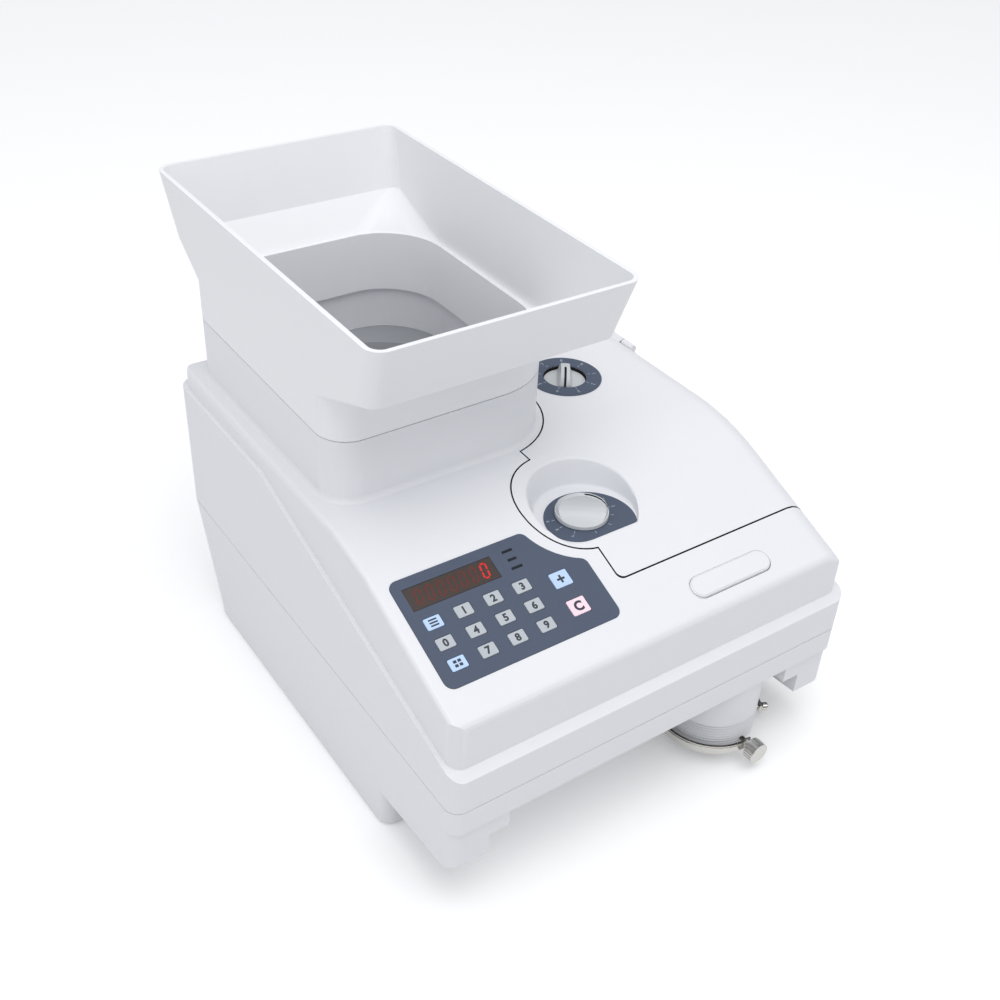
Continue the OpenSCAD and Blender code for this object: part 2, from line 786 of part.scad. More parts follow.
module top_cover() {
    color(white) {
        difference() {
            union() {
                difference() {
                    core_form();
                    linear_extrude(far) cover_plan(cover_gap / 2);
                }
                skirt_form();
                translate([0, 0, under_top]) linear_extrude(collar_z - under_top) neck_plan();
                collar_cove();
            }
            core_form(wall, 2);
            translate([0, 0, seam_z]) linear_extrude(far) neck_plan(-tray_wall);
            on_slope(0, 0, panel_under) linear_extrude(far) panel_plan(0.15);
            on_slope(0, 0, -far / 2) linear_extrude(far) panel_plan(-panel_rest);
            on_slope(button_x, button_s, -far / 2) linear_extrude(far)
                capsule(button_l + 2 * button_gap, button_w + 2 * button_gap);
        }
        for (y = hinge_mid_y) for (side = [-1, 1])
            knuckle(y + side * (knuckle_len + knuckle_gap), hinge_pin_r, true);
    }
}

// One hinge knuckle with its foot, on the skirt or on the access cover
module knuckle(y, bore_r, on_skirt) {
    foot_w = 2.2 * knuckle_r;
    difference() {
        union() {
            translate([hinge_x, y, hinge_z]) rotate([90, 0, 0])
                cylinder(r = knuckle_r, h = knuckle_len, center = true);
            if (on_skirt)
                translate([hinge_x - 1.4, y - knuckle_len / 2, ledge_top_z - 1])
                    cube([2.8, knuckle_len, knuckle_r + 1]);
            else
                translate([hinge_x - foot_w, y - knuckle_len / 2, hinge_z - 1.3])
                    cube([foot_w, knuckle_len, 2.6]);
        }
        translate([hinge_x, y, hinge_z]) rotate([90, 0, 0])
            cylinder(r = bore_r, h = knuckle_len + 2, center = true);
    }
}

module hinge_pins() {
    pin_len = 3 * knuckle_len + 2 * knuckle_gap;
    color(steel) for (y = hinge_mid_y) translate([hinge_x, y, hinge_z]) rotate([90, 0, 0])
        cylinder(r = hinge_pin_r, h = pin_len, center = true);
}

module access_cover() {
    slope_h = top_z - thick_floor_z;
    cone_k = (thick_mouth_r - thick_floor_r) / slope_h;
    floor_under = thick_floor_z - wall;
    well_z = top_z - diam_well_d;
    knuckle_bore = hinge_pin_r + run_gap;
    module recess(grow, low) {
        translate([thick_x + recess_right, thick_y - recess_ahead, low])
            cylinder(r1 = thick_floor_r + grow + cone_k * (low - thick_floor_z),
                     r2 = thick_mouth_r + grow + cone_k * 10, h = top_z + 10 - low);
    }
    color(white) {
        difference() {
            intersection() {
                union() {
                    difference() {
                        core_form();
                        core_form(wall, 2);
                    }
                    intersection() {
                        core_form();
                        union() {
                            recess(wall, floor_under);
                            translate([diam_x, diam_y, well_z - wall])
                                cylinder(r = diam_well_r + wall, h = diam_well_d + wall);
                        }
                    }
                }
                linear_extrude(far) cover_plan(-cover_gap / 2);
            }
            skirt_form(cover_gap);
            recess(0, thick_floor_z);
            translate([thick_x, thick_y, floor_under - 1]) cylinder(r = spindle_r + run_gap, h = far);
            translate([diam_x, diam_y, well_z]) cylinder(r = diam_well_r, h = far);
            translate([diam_x, diam_y, well_z - wall - 1]) cylinder(r = spindle_r + run_gap, h = far);
            for (y = hinge_mid_y) for (side = [-1, 1])
                translate([hinge_x, y + side * (knuckle_len + knuckle_gap), hinge_z])
                    rotate([90, 0, 0])
                        cylinder(r = knuckle_r + 0.6, h = knuckle_len + knuckle_gap, center = true);
        }
        for (y = hinge_mid_y) knuckle(y, knuckle_bore, false);
    }
}

module hopper_tray() {
    module slab(w, d, r, z) {
        for (x = [-1, 1], y = [-1, 1])
            translate([neck_x + x * (w / 2 - r), tray_y + y * (d / 2 - r), z])
                cylinder(r = r, h = tiny, $fn = 32);
    }
    module neck_slab(in, z) {
        for (y = [-1, 1]) {
            translate([neck_x0 + neck_left_r, neck_y + y * (neck_d / 2 - neck_left_r), z])
                cylinder(r = neck_left_r - in, h = tiny, $fn = 32);
            translate([neck_x1 - neck_right_r, neck_y + y * (neck_d / 2 - neck_right_r), z])
                cylinder(r = neck_right_r - in, h = tiny, $fn = 32);
        }
    }
    module box_form(in, low, high) {
        hull() {
            slab(rim_w - 2 * in, rim_d - 2 * in, tray_r - in, high);
            slab(neck_w - 2 * in, tray_d - 2 * in, tray_r - in, low);
        }
    }
    module flare_form(in, low, high) {
        hull() {
            slab(neck_w - 2 * in, tray_d - 2 * in, tray_r - in, high);
            neck_slab(in, low);
        }
    }
    color(white) difference() {
        union() {
            box_form(0, tray_z, rim_z);
            flare_form(0, flare_z, tray_z + tiny);
            translate([0, 0, collar_z + hopper_gap])
                linear_extrude(flare_z + tiny - collar_z - hopper_gap) neck_plan();
            translate([0, 0, collar_z - spigot_h])
                linear_extrude(spigot_h + 5) neck_plan(-tray_wall - spigot_gap);
        }
        translate([0, 0, tiny]) box_form(tray_wall, tray_z + tray_wall / 2, rim_z);
        flare_form(tray_wall, flare_z + tray_wall / 2, tray_z + tray_wall / 2 + 2 * tiny);
        translate([0, 0, collar_z - spigot_h - 1]) linear_extrude(flare_z - collar_z + spigot_h + 3)
            neck_plan(-2 * tray_wall - spigot_gap);
    }
}

// Places of the number keys: [name, column, row from the bottom]
function number_keys() = [
    ["key_0", 0, 1], ["key_1", 1, 2], ["key_2", 2, 2], ["key_3", 3, 2], ["key_4", 1, 1],
    ["key_5", 2, 1], ["key_6", 3, 1], ["key_7", 1, 0], ["key_8", 2, 0], ["key_9", 3, 0],
    ["key_memory", 0, 2], ["key_batch", 0, 0]
];
function big_keys() = [["key_clear", 0], ["key_add", 1]];
function key_tint(name) =
    name == "key_memory" || name == "key_batch" || name == "key_add" ? [0.66, 0.8, 0.95]
    : name == "key_clear" ? [0.97, 0.76, 0.8] : grey;

module key_plan(w, h, grow = 0) {
    round_rect(-w / 2 - grow, -h / 2 - grow, w / 2 + grow, h / 2 + grow, 0.8 + grow);
}

module key_cap(name, w, h, x, s) {
    color(key_tint(name)) on_slope(x, s, key_under) linear_extrude(key_t) key_plan(w, h);
}

module number_key(k) {
    key_cap(k[0], key_w, key_h, key_x0 + k[1] * key_dx, key_s0 + k[2] * key_ds);
}

module big_key(k) {
    key_cap(k[0], big_key_w, big_key_h, big_key_x, big_key_s[k[1]]);
}

module keypad_panel() {
    color(slate) on_slope(0, 0, panel_under) difference() {
        linear_extrude(panel_t) panel_plan();
        translate([display_x, display_s, -1]) linear_extrude(far)
            square([display_w + 0.2, display_h + 0.2], center = true);
        for (k = number_keys())
            translate([key_x0 + k[1] * key_dx, key_s0 + k[2] * key_ds, -1])
                linear_extrude(far) key_plan(key_w, key_h, key_gap);
        for (k = big_keys()) translate([big_key_x, big_key_s[k[1]], -1])
            linear_extrude(far) key_plan(big_key_w, big_key_h, key_gap);
    }
}

module display_window() {
    color([0.2, 0.05, 0.04]) on_slope(display_x, display_s, panel_under)
        linear_extrude(panel_t) square([display_w, display_h], center = true);
}

module display_module() {
    color([0.3, 0.05, 0.04]) on_slope(display_x, display_s, -wall)
        linear_extrude(wall + panel_under) square([display_w - 2, display_h - 2], center = true);
}

module keypad_board() {
    module dome(x, s) {
        translate([x, s, 0]) {
            cylinder(r = 2.6, h = (dome_top + wall) * 0.5);
            cylinder(r = 1.8, h = dome_top + wall);
        }
    }
    color(green) on_slope(0, 0, -wall) {
        translate([0, 0, -board_t]) linear_extrude(board_t) panel_plan(-1);
        for (k = number_keys()) dome(key_x0 + k[1] * key_dx, key_s0 + k[2] * key_ds);
        for (k = big_keys()) dome(big_key_x, big_key_s[k[1]]);
    }
}

module start_button() {
    rim = 1.2;
    color(white) on_slope(button_x, button_s, 0) {
        translate([0, 0, -wall - 1]) linear_extrude(wall + 1 + button_proud - 0.6)
            capsule(button_l, button_w);
        translate([0, 0, button_proud - 0.7]) linear_extrude(0.7) capsule(button_l - rim, button_w - rim);
        translate([0, 0, -wall - 2]) linear_extrude(1.6)
            capsule(button_l + 2 * button_gap + 3, button_w + 2 * button_gap + 2);
        translate([0, 0, -wall - button_post_h]) cylinder(r = 2.5, h = button_post_h);
    }
}

module start_switch() {
    body_top = -wall - button_post_h - button_travel - 0.3;
    body_h = 7;
    plate_t0 = 2;
    post_x = button_l / 2 + button_gap + 8;
    color(dark) on_slope(button_x, button_s, 0) {
        translate([-7, -6, body_top - body_h]) cube([14, 12, body_h]);
        translate([-post_x - 4, -6, body_top - body_h - plate_t0])
            cube([2 * post_x + 8, 12, plate_t0 + tiny]);
        for (x = [-1, 1]) translate([x * post_x, 0, body_top - body_h])
            cylinder(r = 3, h = -wall - body_top + body_h);
    }
}

// Round knob: a dome scooped hollow on both sides to a finger bar, with a pointer slot along its crest
module dial_knob(x, y, z, r, h, bar_t, sweep, turn, spindle_l) {
    dome_r = r - 0.6;
    dome_h = h - knob_base_h;
    scoop_z = 0.8 * knob_base_h;
    scoop_h = 0.9 * (h - scoop_z);
    scoop_mid = [bar_t / 2 + sweep, scoop_z + scoop_h];
    slot_w = 1.4;
    slot_d = 1;
    function crest(a, out) = [(dome_r + out) * cos(a), knob_base_h + (dome_h + out) * sin(a)];
    color(grey) translate([x, y, z]) rotate([0, 0, turn]) {
        difference() {
            rotate_extrude()
                polygon(concat([[0, 0], [r, 0], [r, knob_base_h]], [for (a = [0 : 15 : 90]) crest(a, 0)]));
            for (side = [0, 180]) rotate([0, 0, side]) rotate([90, 0, 90])
                linear_extrude(4 * r, center = true) polygon(concat(
                    [for (a = [0 : 15 : 90]) scoop_mid - [sweep * cos(a), scoop_h * sin(a)]],
                    [[3 * r, scoop_z], [3 * r, 2 * h], [bar_t / 2, 2 * h]]
                ));
            rotate([90, 0, 0]) linear_extrude(slot_w, center = true) polygon(concat(
                [for (a = [10 : 15 : 85]) crest(a, -slot_d)], [for (a = [85 : -15 : 10]) crest(a, slot_d)]
            ));
        }
        translate([0, 0, -spindle_l]) cylinder(r = spindle_r, h = spindle_l + tiny);
    }
}

// Plate under the thickness knob: round, with a straight front edge where the floor meets the slope
module thickness_plate() {
    front_margin = 1.2;
    runout_y = core_front + (thick_floor_z - front_edge_z) / slope_t + front_margin;
    mid = [thick_x + plate_right, thick_y - plate_ahead];
    drop = mid.y - runout_y - plate_corner;
    corner_x = sqrt(pow(thick_plate_r - plate_corner, 2) - drop * drop);
    turn = atan2(-drop, corner_x);
    left_drop = mid.y - runout_y - plate_sweep;
    sweep_x = sqrt(pow(thick_plate_r - plate_sweep, 2) - left_drop * left_drop);
    left_turn = 180 + atan2(left_drop, sweep_x);
    color(slate) translate([0, 0, thick_floor_z]) linear_extrude(plate_t) difference() {
        polygon(concat(
            arc(mid + [corner_x, -drop], plate_corner, -90, turn),
            arc(mid, thick_plate_r, turn, left_turn, 36),
            arc(mid - [sweep_x, left_drop], plate_sweep, left_turn, 270, 14)
        ));
        translate([thick_x, thick_y]) circle(spindle_r + 0.3);
    }
}

module thickness_knob() {
    dial_knob(thick_x, thick_y, thick_floor_z + plate_t + 0.3, thick_knob_r, thick_knob_h,
              thick_bar_t, thick_sweep, thick_bar_deg, plate_t + 0.3 + wall + 1);
}

module diameter_plate() {
    color(slate) translate([diam_x, diam_y, top_z]) linear_extrude(plate_t) difference() {
        circle(diam_plate_r);
        circle(diam_well_r);
    }
}

module diameter_knob() {
    dial_knob(diam_x, diam_y, top_z - diam_well_d + 0.3, diam_well_r - knob_gap, diam_knob_h,
              diam_bar_t, diam_sweep, diam_bar_deg, 0.3 + wall + 1);
}

module outlet_tube() {
    flange_r = tube_r + 3.5;
    flange_z = overhang_z + wall;
    groove_z0 = tube_z + 4;
    color(white) translate([tube_x, tube_y, 0]) {
        rotate_extrude($fn = 96) difference() {
            translate([tube_bore_r, tube_z]) square([tube_r - tube_bore_r, flange_z + 6 - tube_z]);
            for (k = [0 : groove_n - 1])
                translate([tube_r, groove_z0 + k * groove_pitch]) rotate(45)
                    square(groove_depth * sqrt(2), center = true);
        }
        difference() {
            translate([0, 0, flange_z]) cylinder(r = flange_r, h = 2.5);
            translate([0, 0, 0]) cylinder(r = tube_r - 1, h = far);
            translate([-far / 2, wall + 0.3 - tube_y - far, 0]) cube(far);
        }
    }
}

module bag_ring() {
    boss_r = 3.4;
    edge = 1;
    color(steel) translate([tube_x, tube_y, ring_mid_z]) difference() {
        union() {
            rotate([0, 0, ring_start_deg])
                rotate_extrude(angle = 360 - ring_open_deg + ring_lip_deg, $fn = 96)
                    translate([ring_r, 0]) {
                        translate([0, edge - ring_h / 2]) square([ring_t, ring_h - 2 * edge]);
                        translate([ring_t / 2, 0]) square([ring_t - edge, ring_h], center = true);
                    }
            rotate([0, 0, screw_deg]) translate([ring_r + 0.3, 0, 0]) rotate([0, 90, 0])
                cylinder(r = boss_r, h = ring_t + 1.2);
        }
        rotate([0, 0, screw_deg]) translate([ring_r - 3, 0, 0]) rotate([0, 90, 0])
            cylinder(r = screw_r + run_gap, h = ring_t + 8);
        rotate([0, 0, pin_deg]) translate([ring_r - 3, 0, 0]) rotate([0, 90, 0])
            cylinder(r = pin_r, h = ring_t + 8);
    }
}

module ring_pin() {
    nut_r = 2.6;
    nut_h = 3;
    tip = tube_r + tip_gap;
    color(steel) translate([tube_x, tube_y, ring_mid_z]) rotate([0, 0, pin_deg]) {
        translate([tip, 0, 0]) rotate([0, 90, 0]) cylinder(r = pin_r, h = ring_r + ring_t + nut_h + 1 - tip);
        translate([ring_r + ring_t + 0.1, 0, 0]) rotate([0, 90, 0]) cylinder(r = nut_r, h = nut_h);
    }
}

module ring_thumbscrew() {
    flutes = 24;
    color(steel) translate([tube_x, tube_y, ring_mid_z]) rotate([0, 0, screw_deg]) {
        translate([tube_r + tip_gap, 0, 0]) rotate([0, 90, 0])
            cylinder(r = screw_r, h = screw_head_x - tube_r - tip_gap + 0.1);
        translate([screw_head_x, 0, 0]) rotate([0, 90, 0]) difference() {
            cylinder(r = screw_head_r, h = screw_head_l);
            for (k = [0 : flutes - 1]) rotate([0, 0, 360 * k / flutes])
                translate([screw_head_r + 0.15, 0, 0.8])
                    cylinder(r = 0.45, h = screw_head_l - 1.6, $fn = 16);
        }
    }
}

module coin_chute() {
    mouth_z = front_edge_z - 18;
    mouth_w = 44;
    mouth_y1 = stand_front - 1;
    foot_z = overhang_z + wall + 6.3;
    t = 2;
    module form(in, low, high) {
        hull() {
            translate([tube_x - mouth_w / 2 + in, core_front + wall + 18 + in, high])
                cube([mouth_w - 2 * in, mouth_y1 - core_front - wall - 18 - 2 * in, tiny]);
            translate([tube_x, tube_y, low]) cylinder(r = tube_bore_r + t - in, h = tiny, $fn = 32);
        }
    }
    color(grey) difference() {
        form(0, foot_z, mouth_z);
        form(t, foot_z - 0.5, mouth_z + 0.5);
    }
}

module deck_plate() {
    color(steel) difference() {
        translate([0, 0, deck_z - deck_t]) linear_extrude(deck_t)
            round_rect(-core_half + wall + 2, stand_front + 4,
                       core_half - wall - 16, core_back - wall - 6, 8);
        translate([disc_x, neck_y, 0]) cylinder(r = disc_r + disc_gap, h = far);
        translate([motor_x, motor_y, 0]) cylinder(r = motor_pulley_r + 3, h = far);
    }
}

module deck_posts() {
    post_z = foot_h + base_floor;
    color(steel) for (p = foot_places()) translate([p.x, p.y, post_z]) difference() {
        cylinder(r = post_r, h = deck_z - deck_t - post_z);
        translate([0, 0, -1]) cylinder(r = screw_body_r, h = screw_body_l);
    }
}

module disc_bowl() {
    bowl_top = under_top - 0.1;
    cone_top = min(disc_x - neck_x0, neck_x1 - disc_x, neck_d / 2) - tray_wall - 0.6;
    color(grey) difference() {
        union() {
            translate([0, 0, bowl_z]) linear_extrude(bowl_top - bowl_z) neck_plan(1.5);
            difference() {
                translate([disc_x, neck_y, deck_z]) cylinder(r = disc_r + 5, h = bowl_z - deck_z + tiny);
                translate([disc_x + disc_r * 0.5, neck_y - disc_r - 20, deck_z - 1])
                    cube([60, disc_r + 10, bowl_z - deck_z + 1]);
            }
        }
        translate([disc_x, neck_y, 0]) cylinder(r = disc_r + disc_gap, h = bowl_z);
        translate([disc_x, neck_y, bowl_z - tiny])
            cylinder(r1 = disc_r - 2, r2 = cone_top, h = bowl_top - bowl_z + 2 * tiny);
    }
}

module feed_disc() {
    cone_h = 12;
    color([0.35, 0.36, 0.38]) difference() {
        translate([disc_x, neck_y, disc_under]) {
            cylinder(r = disc_r, h = disc_t, $fn = 96);
            translate([0, 0, disc_t - tiny]) cylinder(r1 = 20, r2 = 7, h = cone_h);
            for (k = [0 : 2]) rotate([0, 0, 120 * k + 20]) translate([14, -1.5, disc_t - tiny])
                cube([disc_r - 20, 3, 1.6]);
            translate([0, 0, -6]) cylinder(r = shaft_r + 6, h = 6 + tiny);
        }
        translate([disc_x, neck_y, disc_under - 7])
            cylinder(r = shaft_r, h = shaft_top_z - disc_under + 7);
    }
}

module disc_shaft() {
    color(steel) translate([disc_x, neck_y, shaft_end_z])
        cylinder(r = shaft_r, h = shaft_top_z - shaft_end_z);
}

module bearing_bridge() {
    reach = disc_r + 8;
    standoff_h = deck_z - deck_t - bridge_z - bridge_t;
    color(steel) difference() {
        translate([disc_x, neck_y, bridge_z]) {
            linear_extrude(bridge_t) round_rect(-reach - 3, -bridge_half, reach + 3, bridge_half, 6);
            for (x = [-1, 1], y = [-1, 1])
                translate([x * (reach - 1.5), y * (bridge_half - 8), bridge_t - tiny])
                    cylinder(r = 4, h = standoff_h + tiny);
        }
        translate([disc_x, neck_y, bridge_z - 1]) cylinder(r = bush_r, h = bridge_t + 2);
    }
}

module bearing_bush() {
    color("goldenrod") translate([disc_x, neck_y, 0]) difference() {
        union() {
            translate([0, 0, bridge_z - 5]) cylinder(r = bush_r, h = bridge_t + 8);
            translate([0, 0, bridge_z - 3]) cylinder(r = bush_r + 4, h = 3);
        }
        translate([0, 0, bridge_z - 6]) cylinder(r = shaft_r + run_gap, h = bridge_t + 12);
    }
}

// Flat pulley with two rims and a bore
module pulley(x, y, r, bore_r) {
    rim_t = 1;
    rim_h = min(r * 0.1, 2.2);
    color(grey) translate([x, y, pulley_z]) difference() {
        union() {
            cylinder(r = r, h = pulley_h);
            for (z = [0, pulley_h - rim_t]) translate([0, 0, z]) cylinder(r = r + rim_h, h = rim_t);
        }
        if (bore_r > 0) translate([0, 0, -1]) cylinder(r = bore_r, h = pulley_h + 2);
    }
}

module disc_pulley() {
    pulley(disc_x, neck_y, disc_pulley_r, shaft_r);
}

module motor_pulley() {
    pulley(motor_x, motor_y, motor_pulley_r, 0);
    color(steel) translate([motor_x, motor_y, bracket_z - 5])
        cylinder(r = motor_shaft_r, h = pulley_z - bracket_z + 5 + tiny);
}

module drive_belt() {
    belt_gap = 0.2;
    belt_w = pulley_h - 2 * (1 + 0.4);
    module loop(grow) {
        hull() {
            translate([disc_x, neck_y]) circle(disc_pulley_r + belt_gap + grow, $fn = 72);
            translate([motor_x, motor_y]) circle(motor_pulley_r + belt_gap + grow, $fn = 48);
        }
    }
    color(dark) translate([0, 0, pulley_z + (pulley_h - belt_w) / 2]) linear_extrude(belt_w) difference() {
        loop(belt_t);
        loop(0);
    }
}

module drive_motor() {
    color(dark) translate([motor_x, motor_y, 0]) {
        difference() {
            union() {
                translate([0, 0, bracket_z - motor_l]) cylinder(r = motor_r, h = motor_l - 4);
                translate([0, 0, bracket_z - 4 - tiny]) cylinder(r = motor_r - 3, h = 4 + tiny);
                translate([0, 0, bracket_z - tiny]) cylinder(r = 8, h = bracket_t);
            }
            translate([0, 0, bracket_z - 6]) cylinder(r = motor_shaft_r + run_gap, h = 20);
        }
    }
}

module motor_bracket() {
    post_h = deck_z - deck_t - bracket_z - bracket_t;
    post_x = bracket_half_x - bracket_post_r;
    post_y = bracket_half_y - bracket_post_r;
    color(steel) difference() {
        translate([motor_x, motor_y, bracket_z]) {
            linear_extrude(bracket_t)
                round_rect(-bracket_half_x, -bracket_half_y, bracket_half_x, bracket_half_y, 6);
            for (x = [-1, 1], y = [-1, 1])
                translate([x * post_x, y * post_y, bracket_t - tiny])
                    cylinder(r = bracket_post_r, h = post_h + tiny);
        }
        translate([motor_x, motor_y, 0]) cylinder(r = 8.1, h = far);
    }
}

module roller_axis(y) {
    translate([track_x, y, deck_z + coin_gap + 1.2 + roller_r]) rotate([0, 90, 0]) children();
}

module roller_bracket() {
    gap = track_belt_w / 2 + 1;
    t = 2;
    color(steel) difference() {
        for (side = [-1, 1]) translate([track_x + side * (gap + t / 2) - t / 2, track_y0 - 7, deck_z])
            cube([t, track_y1 - track_y0 + 14, 11]);
        for (y = [track_y0, track_y1]) roller_axis(y)
            cylinder(r = 1.5 + run_gap, h = far, center = true);
    }
}

module roller(y) {
    color(grey) roller_axis(y) {
        cylinder(r = roller_r, h = track_belt_w + 1, center = true);
        cylinder(r = 1.5, h = track_belt_w + 7, center = true);
    }
}

module drive_roller() {
    roller(track_y0);
}

module idler_roller() {
    roller(track_y1);
}

module transport_belt() {
    belt_z = deck_z + coin_gap + 1.2 + roller_r;
    module loop(r) {
        for (y = [track_y0, track_y1]) translate([y, belt_z]) circle(r, $fn = 48);
        translate([track_y0, belt_z - r]) square([track_y1 - track_y0, 2 * r]);
    }
    color(dark) translate([track_x, 0, 0]) rotate([90, 0, 90])
        linear_extrude(track_belt_w, center = true) difference() {
            loop(roller_r + 1.2);
            loop(roller_r + 0.2);
        }
}

module coin_rails() {
    color(steel) for (side = [-1, 1])
        translate([track_x + side * (rail_gap + rail_w / 2) - rail_w / 2, stand_front + 6, deck_z])
            cube([rail_w, track_y1 - stand_front + 8, rail_h]);
}

module count_sensor() {
    arm = 4;
    half = rail_gap + rail_w + 0.3;
    h = thick_floor_z - wall - deck_z - 0.4;
    color(dark) translate([track_x, stand_front + 8, deck_z]) difference() {
        translate([-half - arm, 0, 0]) cube([2 * (half + arm), 8, h]);
        translate([-half, -1, -1]) cube([2 * half, 10, 1 + rail_h + 0.3]);
    }
}

module main_board() {
    place = [board_side - core_half, stand_front + board_front, foot_h + base_floor + board_lift];
    pillar_in = 5;
    color(green) translate(place) {
        cube([board_w, board_d, board_t]);
        for (x = [pillar_in, board_w - pillar_in], y = [pillar_in, board_d - pillar_in])
            translate([x, y, -board_lift]) cylinder(r = 3, h = board_lift + tiny);
    }
    color(dark) translate(place + [0, 0, board_t - tiny]) {
        translate([board_w * 0.31, board_d * 0.34, 0]) cube([18, 18, 3]);
        translate([board_w * 0.65, board_d * 0.17, 0]) cube([24, 9, 8]);
        for (k = [0 : 2]) translate([board_w * 0.15, board_d * (0.23 + 0.26 * k), 0]) cylinder(r = 5, h = 13);
    }
}

module power_supply() {
    z0 = foot_h + base_floor;
    foot_t = 3;
    lug = 14;
    coil_out = 10;
    color(steel) translate([board_side - core_half, stand_back - supply_back, z0]) {
        cube([supply_w, supply_d, foot_t]);
        translate([lug, 4, foot_t - tiny]) cube([supply_w - 2 * lug, supply_d - 8, core_h]);
        translate([lug + 4, 4 - coil_out, foot_t + 9])
            cube([supply_w - 2 * lug - 8, supply_d - 8 + 2 * coil_out, core_h - 18]);
    }
}

module power_inlet() {
    skin = 1.7;
    depth = 20;
    blade_w = 2;
    color(dark) translate([inlet_x, rear_face, rear_mid_z]) rotate([-90, 0, 0]) difference() {
        union() {
            translate([0, 0, -depth]) linear_extrude(depth + tiny) square([inlet_w, inlet_h], center = true);
            linear_extrude(2.4) round_rect(-inlet_w / 2 - inlet_rim, -inlet_h / 2 - inlet_rim + 1.2,
                                           inlet_w / 2 + inlet_rim, inlet_h / 2 + inlet_rim - 1.2, 3);
        }
        translate([0, 0, 5 - depth]) linear_extrude(2 * depth)
            square([inlet_w - 2 * skin, inlet_h - 2 * skin - 0.4], center = true);
    }
    color(steel) translate([inlet_x, rear_face, rear_mid_z]) for (x = [-1, 0, 1])
        translate([x * inlet_w / 4 - blade_w / 2, 4 - depth, x == 0 ? 2 : -4]) cube([blade_w, depth - 5, 4]);
}

module switch_frame() {
    depth = 16;
    skin = 1.1;
    color(dark) translate([switch_x, rear_face, rear_mid_z]) rotate([-90, 0, 0]) difference() {
        union() {
            translate([0, 0, -depth]) linear_extrude(depth + tiny)
                square([switch_w, switch_h], center = true);
            linear_extrude(1.8) round_rect(-switch_w / 2 - switch_rim, -switch_h / 2 - switch_rim,
                                           switch_w / 2 + switch_rim, switch_h / 2 + switch_rim, 1.5);
        }
        translate([0, 0, -9]) linear_extrude(20)
            square([switch_w - 2 * skin, switch_h - 2 * skin], center = true);
        translate([0, 0, -rocker_depth]) rotate([0, 90, 0])
            cylinder(r = rocker_pin_r + run_gap, h = switch_w - 0.8, center = true);
    }
}

module switch_rocker() {
    crest_r = 9.2;
    half_h = switch_h / 2 - 1.9;
    color(dark) translate([switch_x, rear_face - rocker_depth, rear_mid_z]) rotate([rocker_deg, 0, 0]) {
        rotate([0, 90, 0]) linear_extrude(switch_w - 3, center = true) intersection() {
            translate([0, -2]) circle(crest_r);
            translate([-half_h, -2.5]) square([2 * half_h, 20]);
        }
        rotate([0, 90, 0]) cylinder(r = rocker_pin_r, h = switch_w - 1, center = true);
    }
}

// The frame's origin is on the floor, under the middle of the machine's outline
module placed() {
    translate([0, -outline_mid, 0]) children();
}

placed() base_shell();
placed() rubber_feet();
placed() base_screws();
placed() top_cover();
placed() access_cover();
placed() hinge_pins();
placed() hopper_tray();
placed() keypad_panel();
placed() display_window();
placed() display_module();
placed() keypad_board();
for (k = number_keys()) placed() number_key(k);
for (k = big_keys()) placed() big_key(k);
placed() start_button();
placed() start_switch();
placed() thickness_plate();
placed() thickness_knob();
placed() diameter_plate();
placed() diameter_knob();
placed() outlet_tube();
placed() bag_ring();
placed() ring_pin();
placed() ring_thumbscrew();
placed() coin_chute();
placed() deck_plate();
placed() deck_posts();
placed() disc_bowl();
placed() feed_disc();
placed() disc_shaft();
placed() bearing_bridge();
placed() bearing_bush();
placed() disc_pulley();
placed() drive_belt();
placed() motor_pulley();
placed() drive_motor();
placed() motor_bracket();
placed() roller_bracket();
placed() drive_roller();
placed() idler_roller();
placed() transport_belt();
placed() coin_rails();
placed() count_sensor();
placed() main_board();
placed() power_supply();
placed() power_inlet();
placed() switch_frame();
placed() switch_rocker();
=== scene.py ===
# %% [markdown]
# # Coin counting machine
# A counter-top machine: a white moulded housing with a hopper on top, a key panel, two setting dials
# and an outlet tube under its front edge. It could be modelled from nothing in Blender, but the
# construction model already holds every solid in its real size and place. So this lesson loads those
# solids and dresses them: soft edges first, then finishes, then printed and lit marks.

# %% Load the frame
import json
import math

import bmesh
import bpy
from mathutils import Matrix, Vector
from mathutils.bvhtree import BVHTree


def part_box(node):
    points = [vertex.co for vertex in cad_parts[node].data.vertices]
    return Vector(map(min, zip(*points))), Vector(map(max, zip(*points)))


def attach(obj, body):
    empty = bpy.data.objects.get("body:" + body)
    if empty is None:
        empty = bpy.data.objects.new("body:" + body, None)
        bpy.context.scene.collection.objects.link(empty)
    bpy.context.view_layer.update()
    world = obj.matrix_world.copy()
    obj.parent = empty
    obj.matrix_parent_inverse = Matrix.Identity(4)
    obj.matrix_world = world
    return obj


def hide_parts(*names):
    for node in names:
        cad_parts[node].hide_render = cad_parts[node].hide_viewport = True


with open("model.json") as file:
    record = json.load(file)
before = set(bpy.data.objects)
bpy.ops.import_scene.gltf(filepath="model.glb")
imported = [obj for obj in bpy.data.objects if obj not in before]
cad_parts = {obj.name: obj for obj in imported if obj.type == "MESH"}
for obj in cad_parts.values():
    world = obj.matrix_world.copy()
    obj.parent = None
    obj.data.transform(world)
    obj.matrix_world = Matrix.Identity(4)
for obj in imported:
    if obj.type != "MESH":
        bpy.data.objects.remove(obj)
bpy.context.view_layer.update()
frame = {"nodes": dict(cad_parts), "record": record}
nodes = frame["nodes"]
record = frame["record"]
body_of_node = {node: body for body, group in record["behaviour"]["bodies"].items() for node in group}
slot_of_node = {part["node"]: part["material_slot"] for part in record["subparts"]}
MM = 0.001

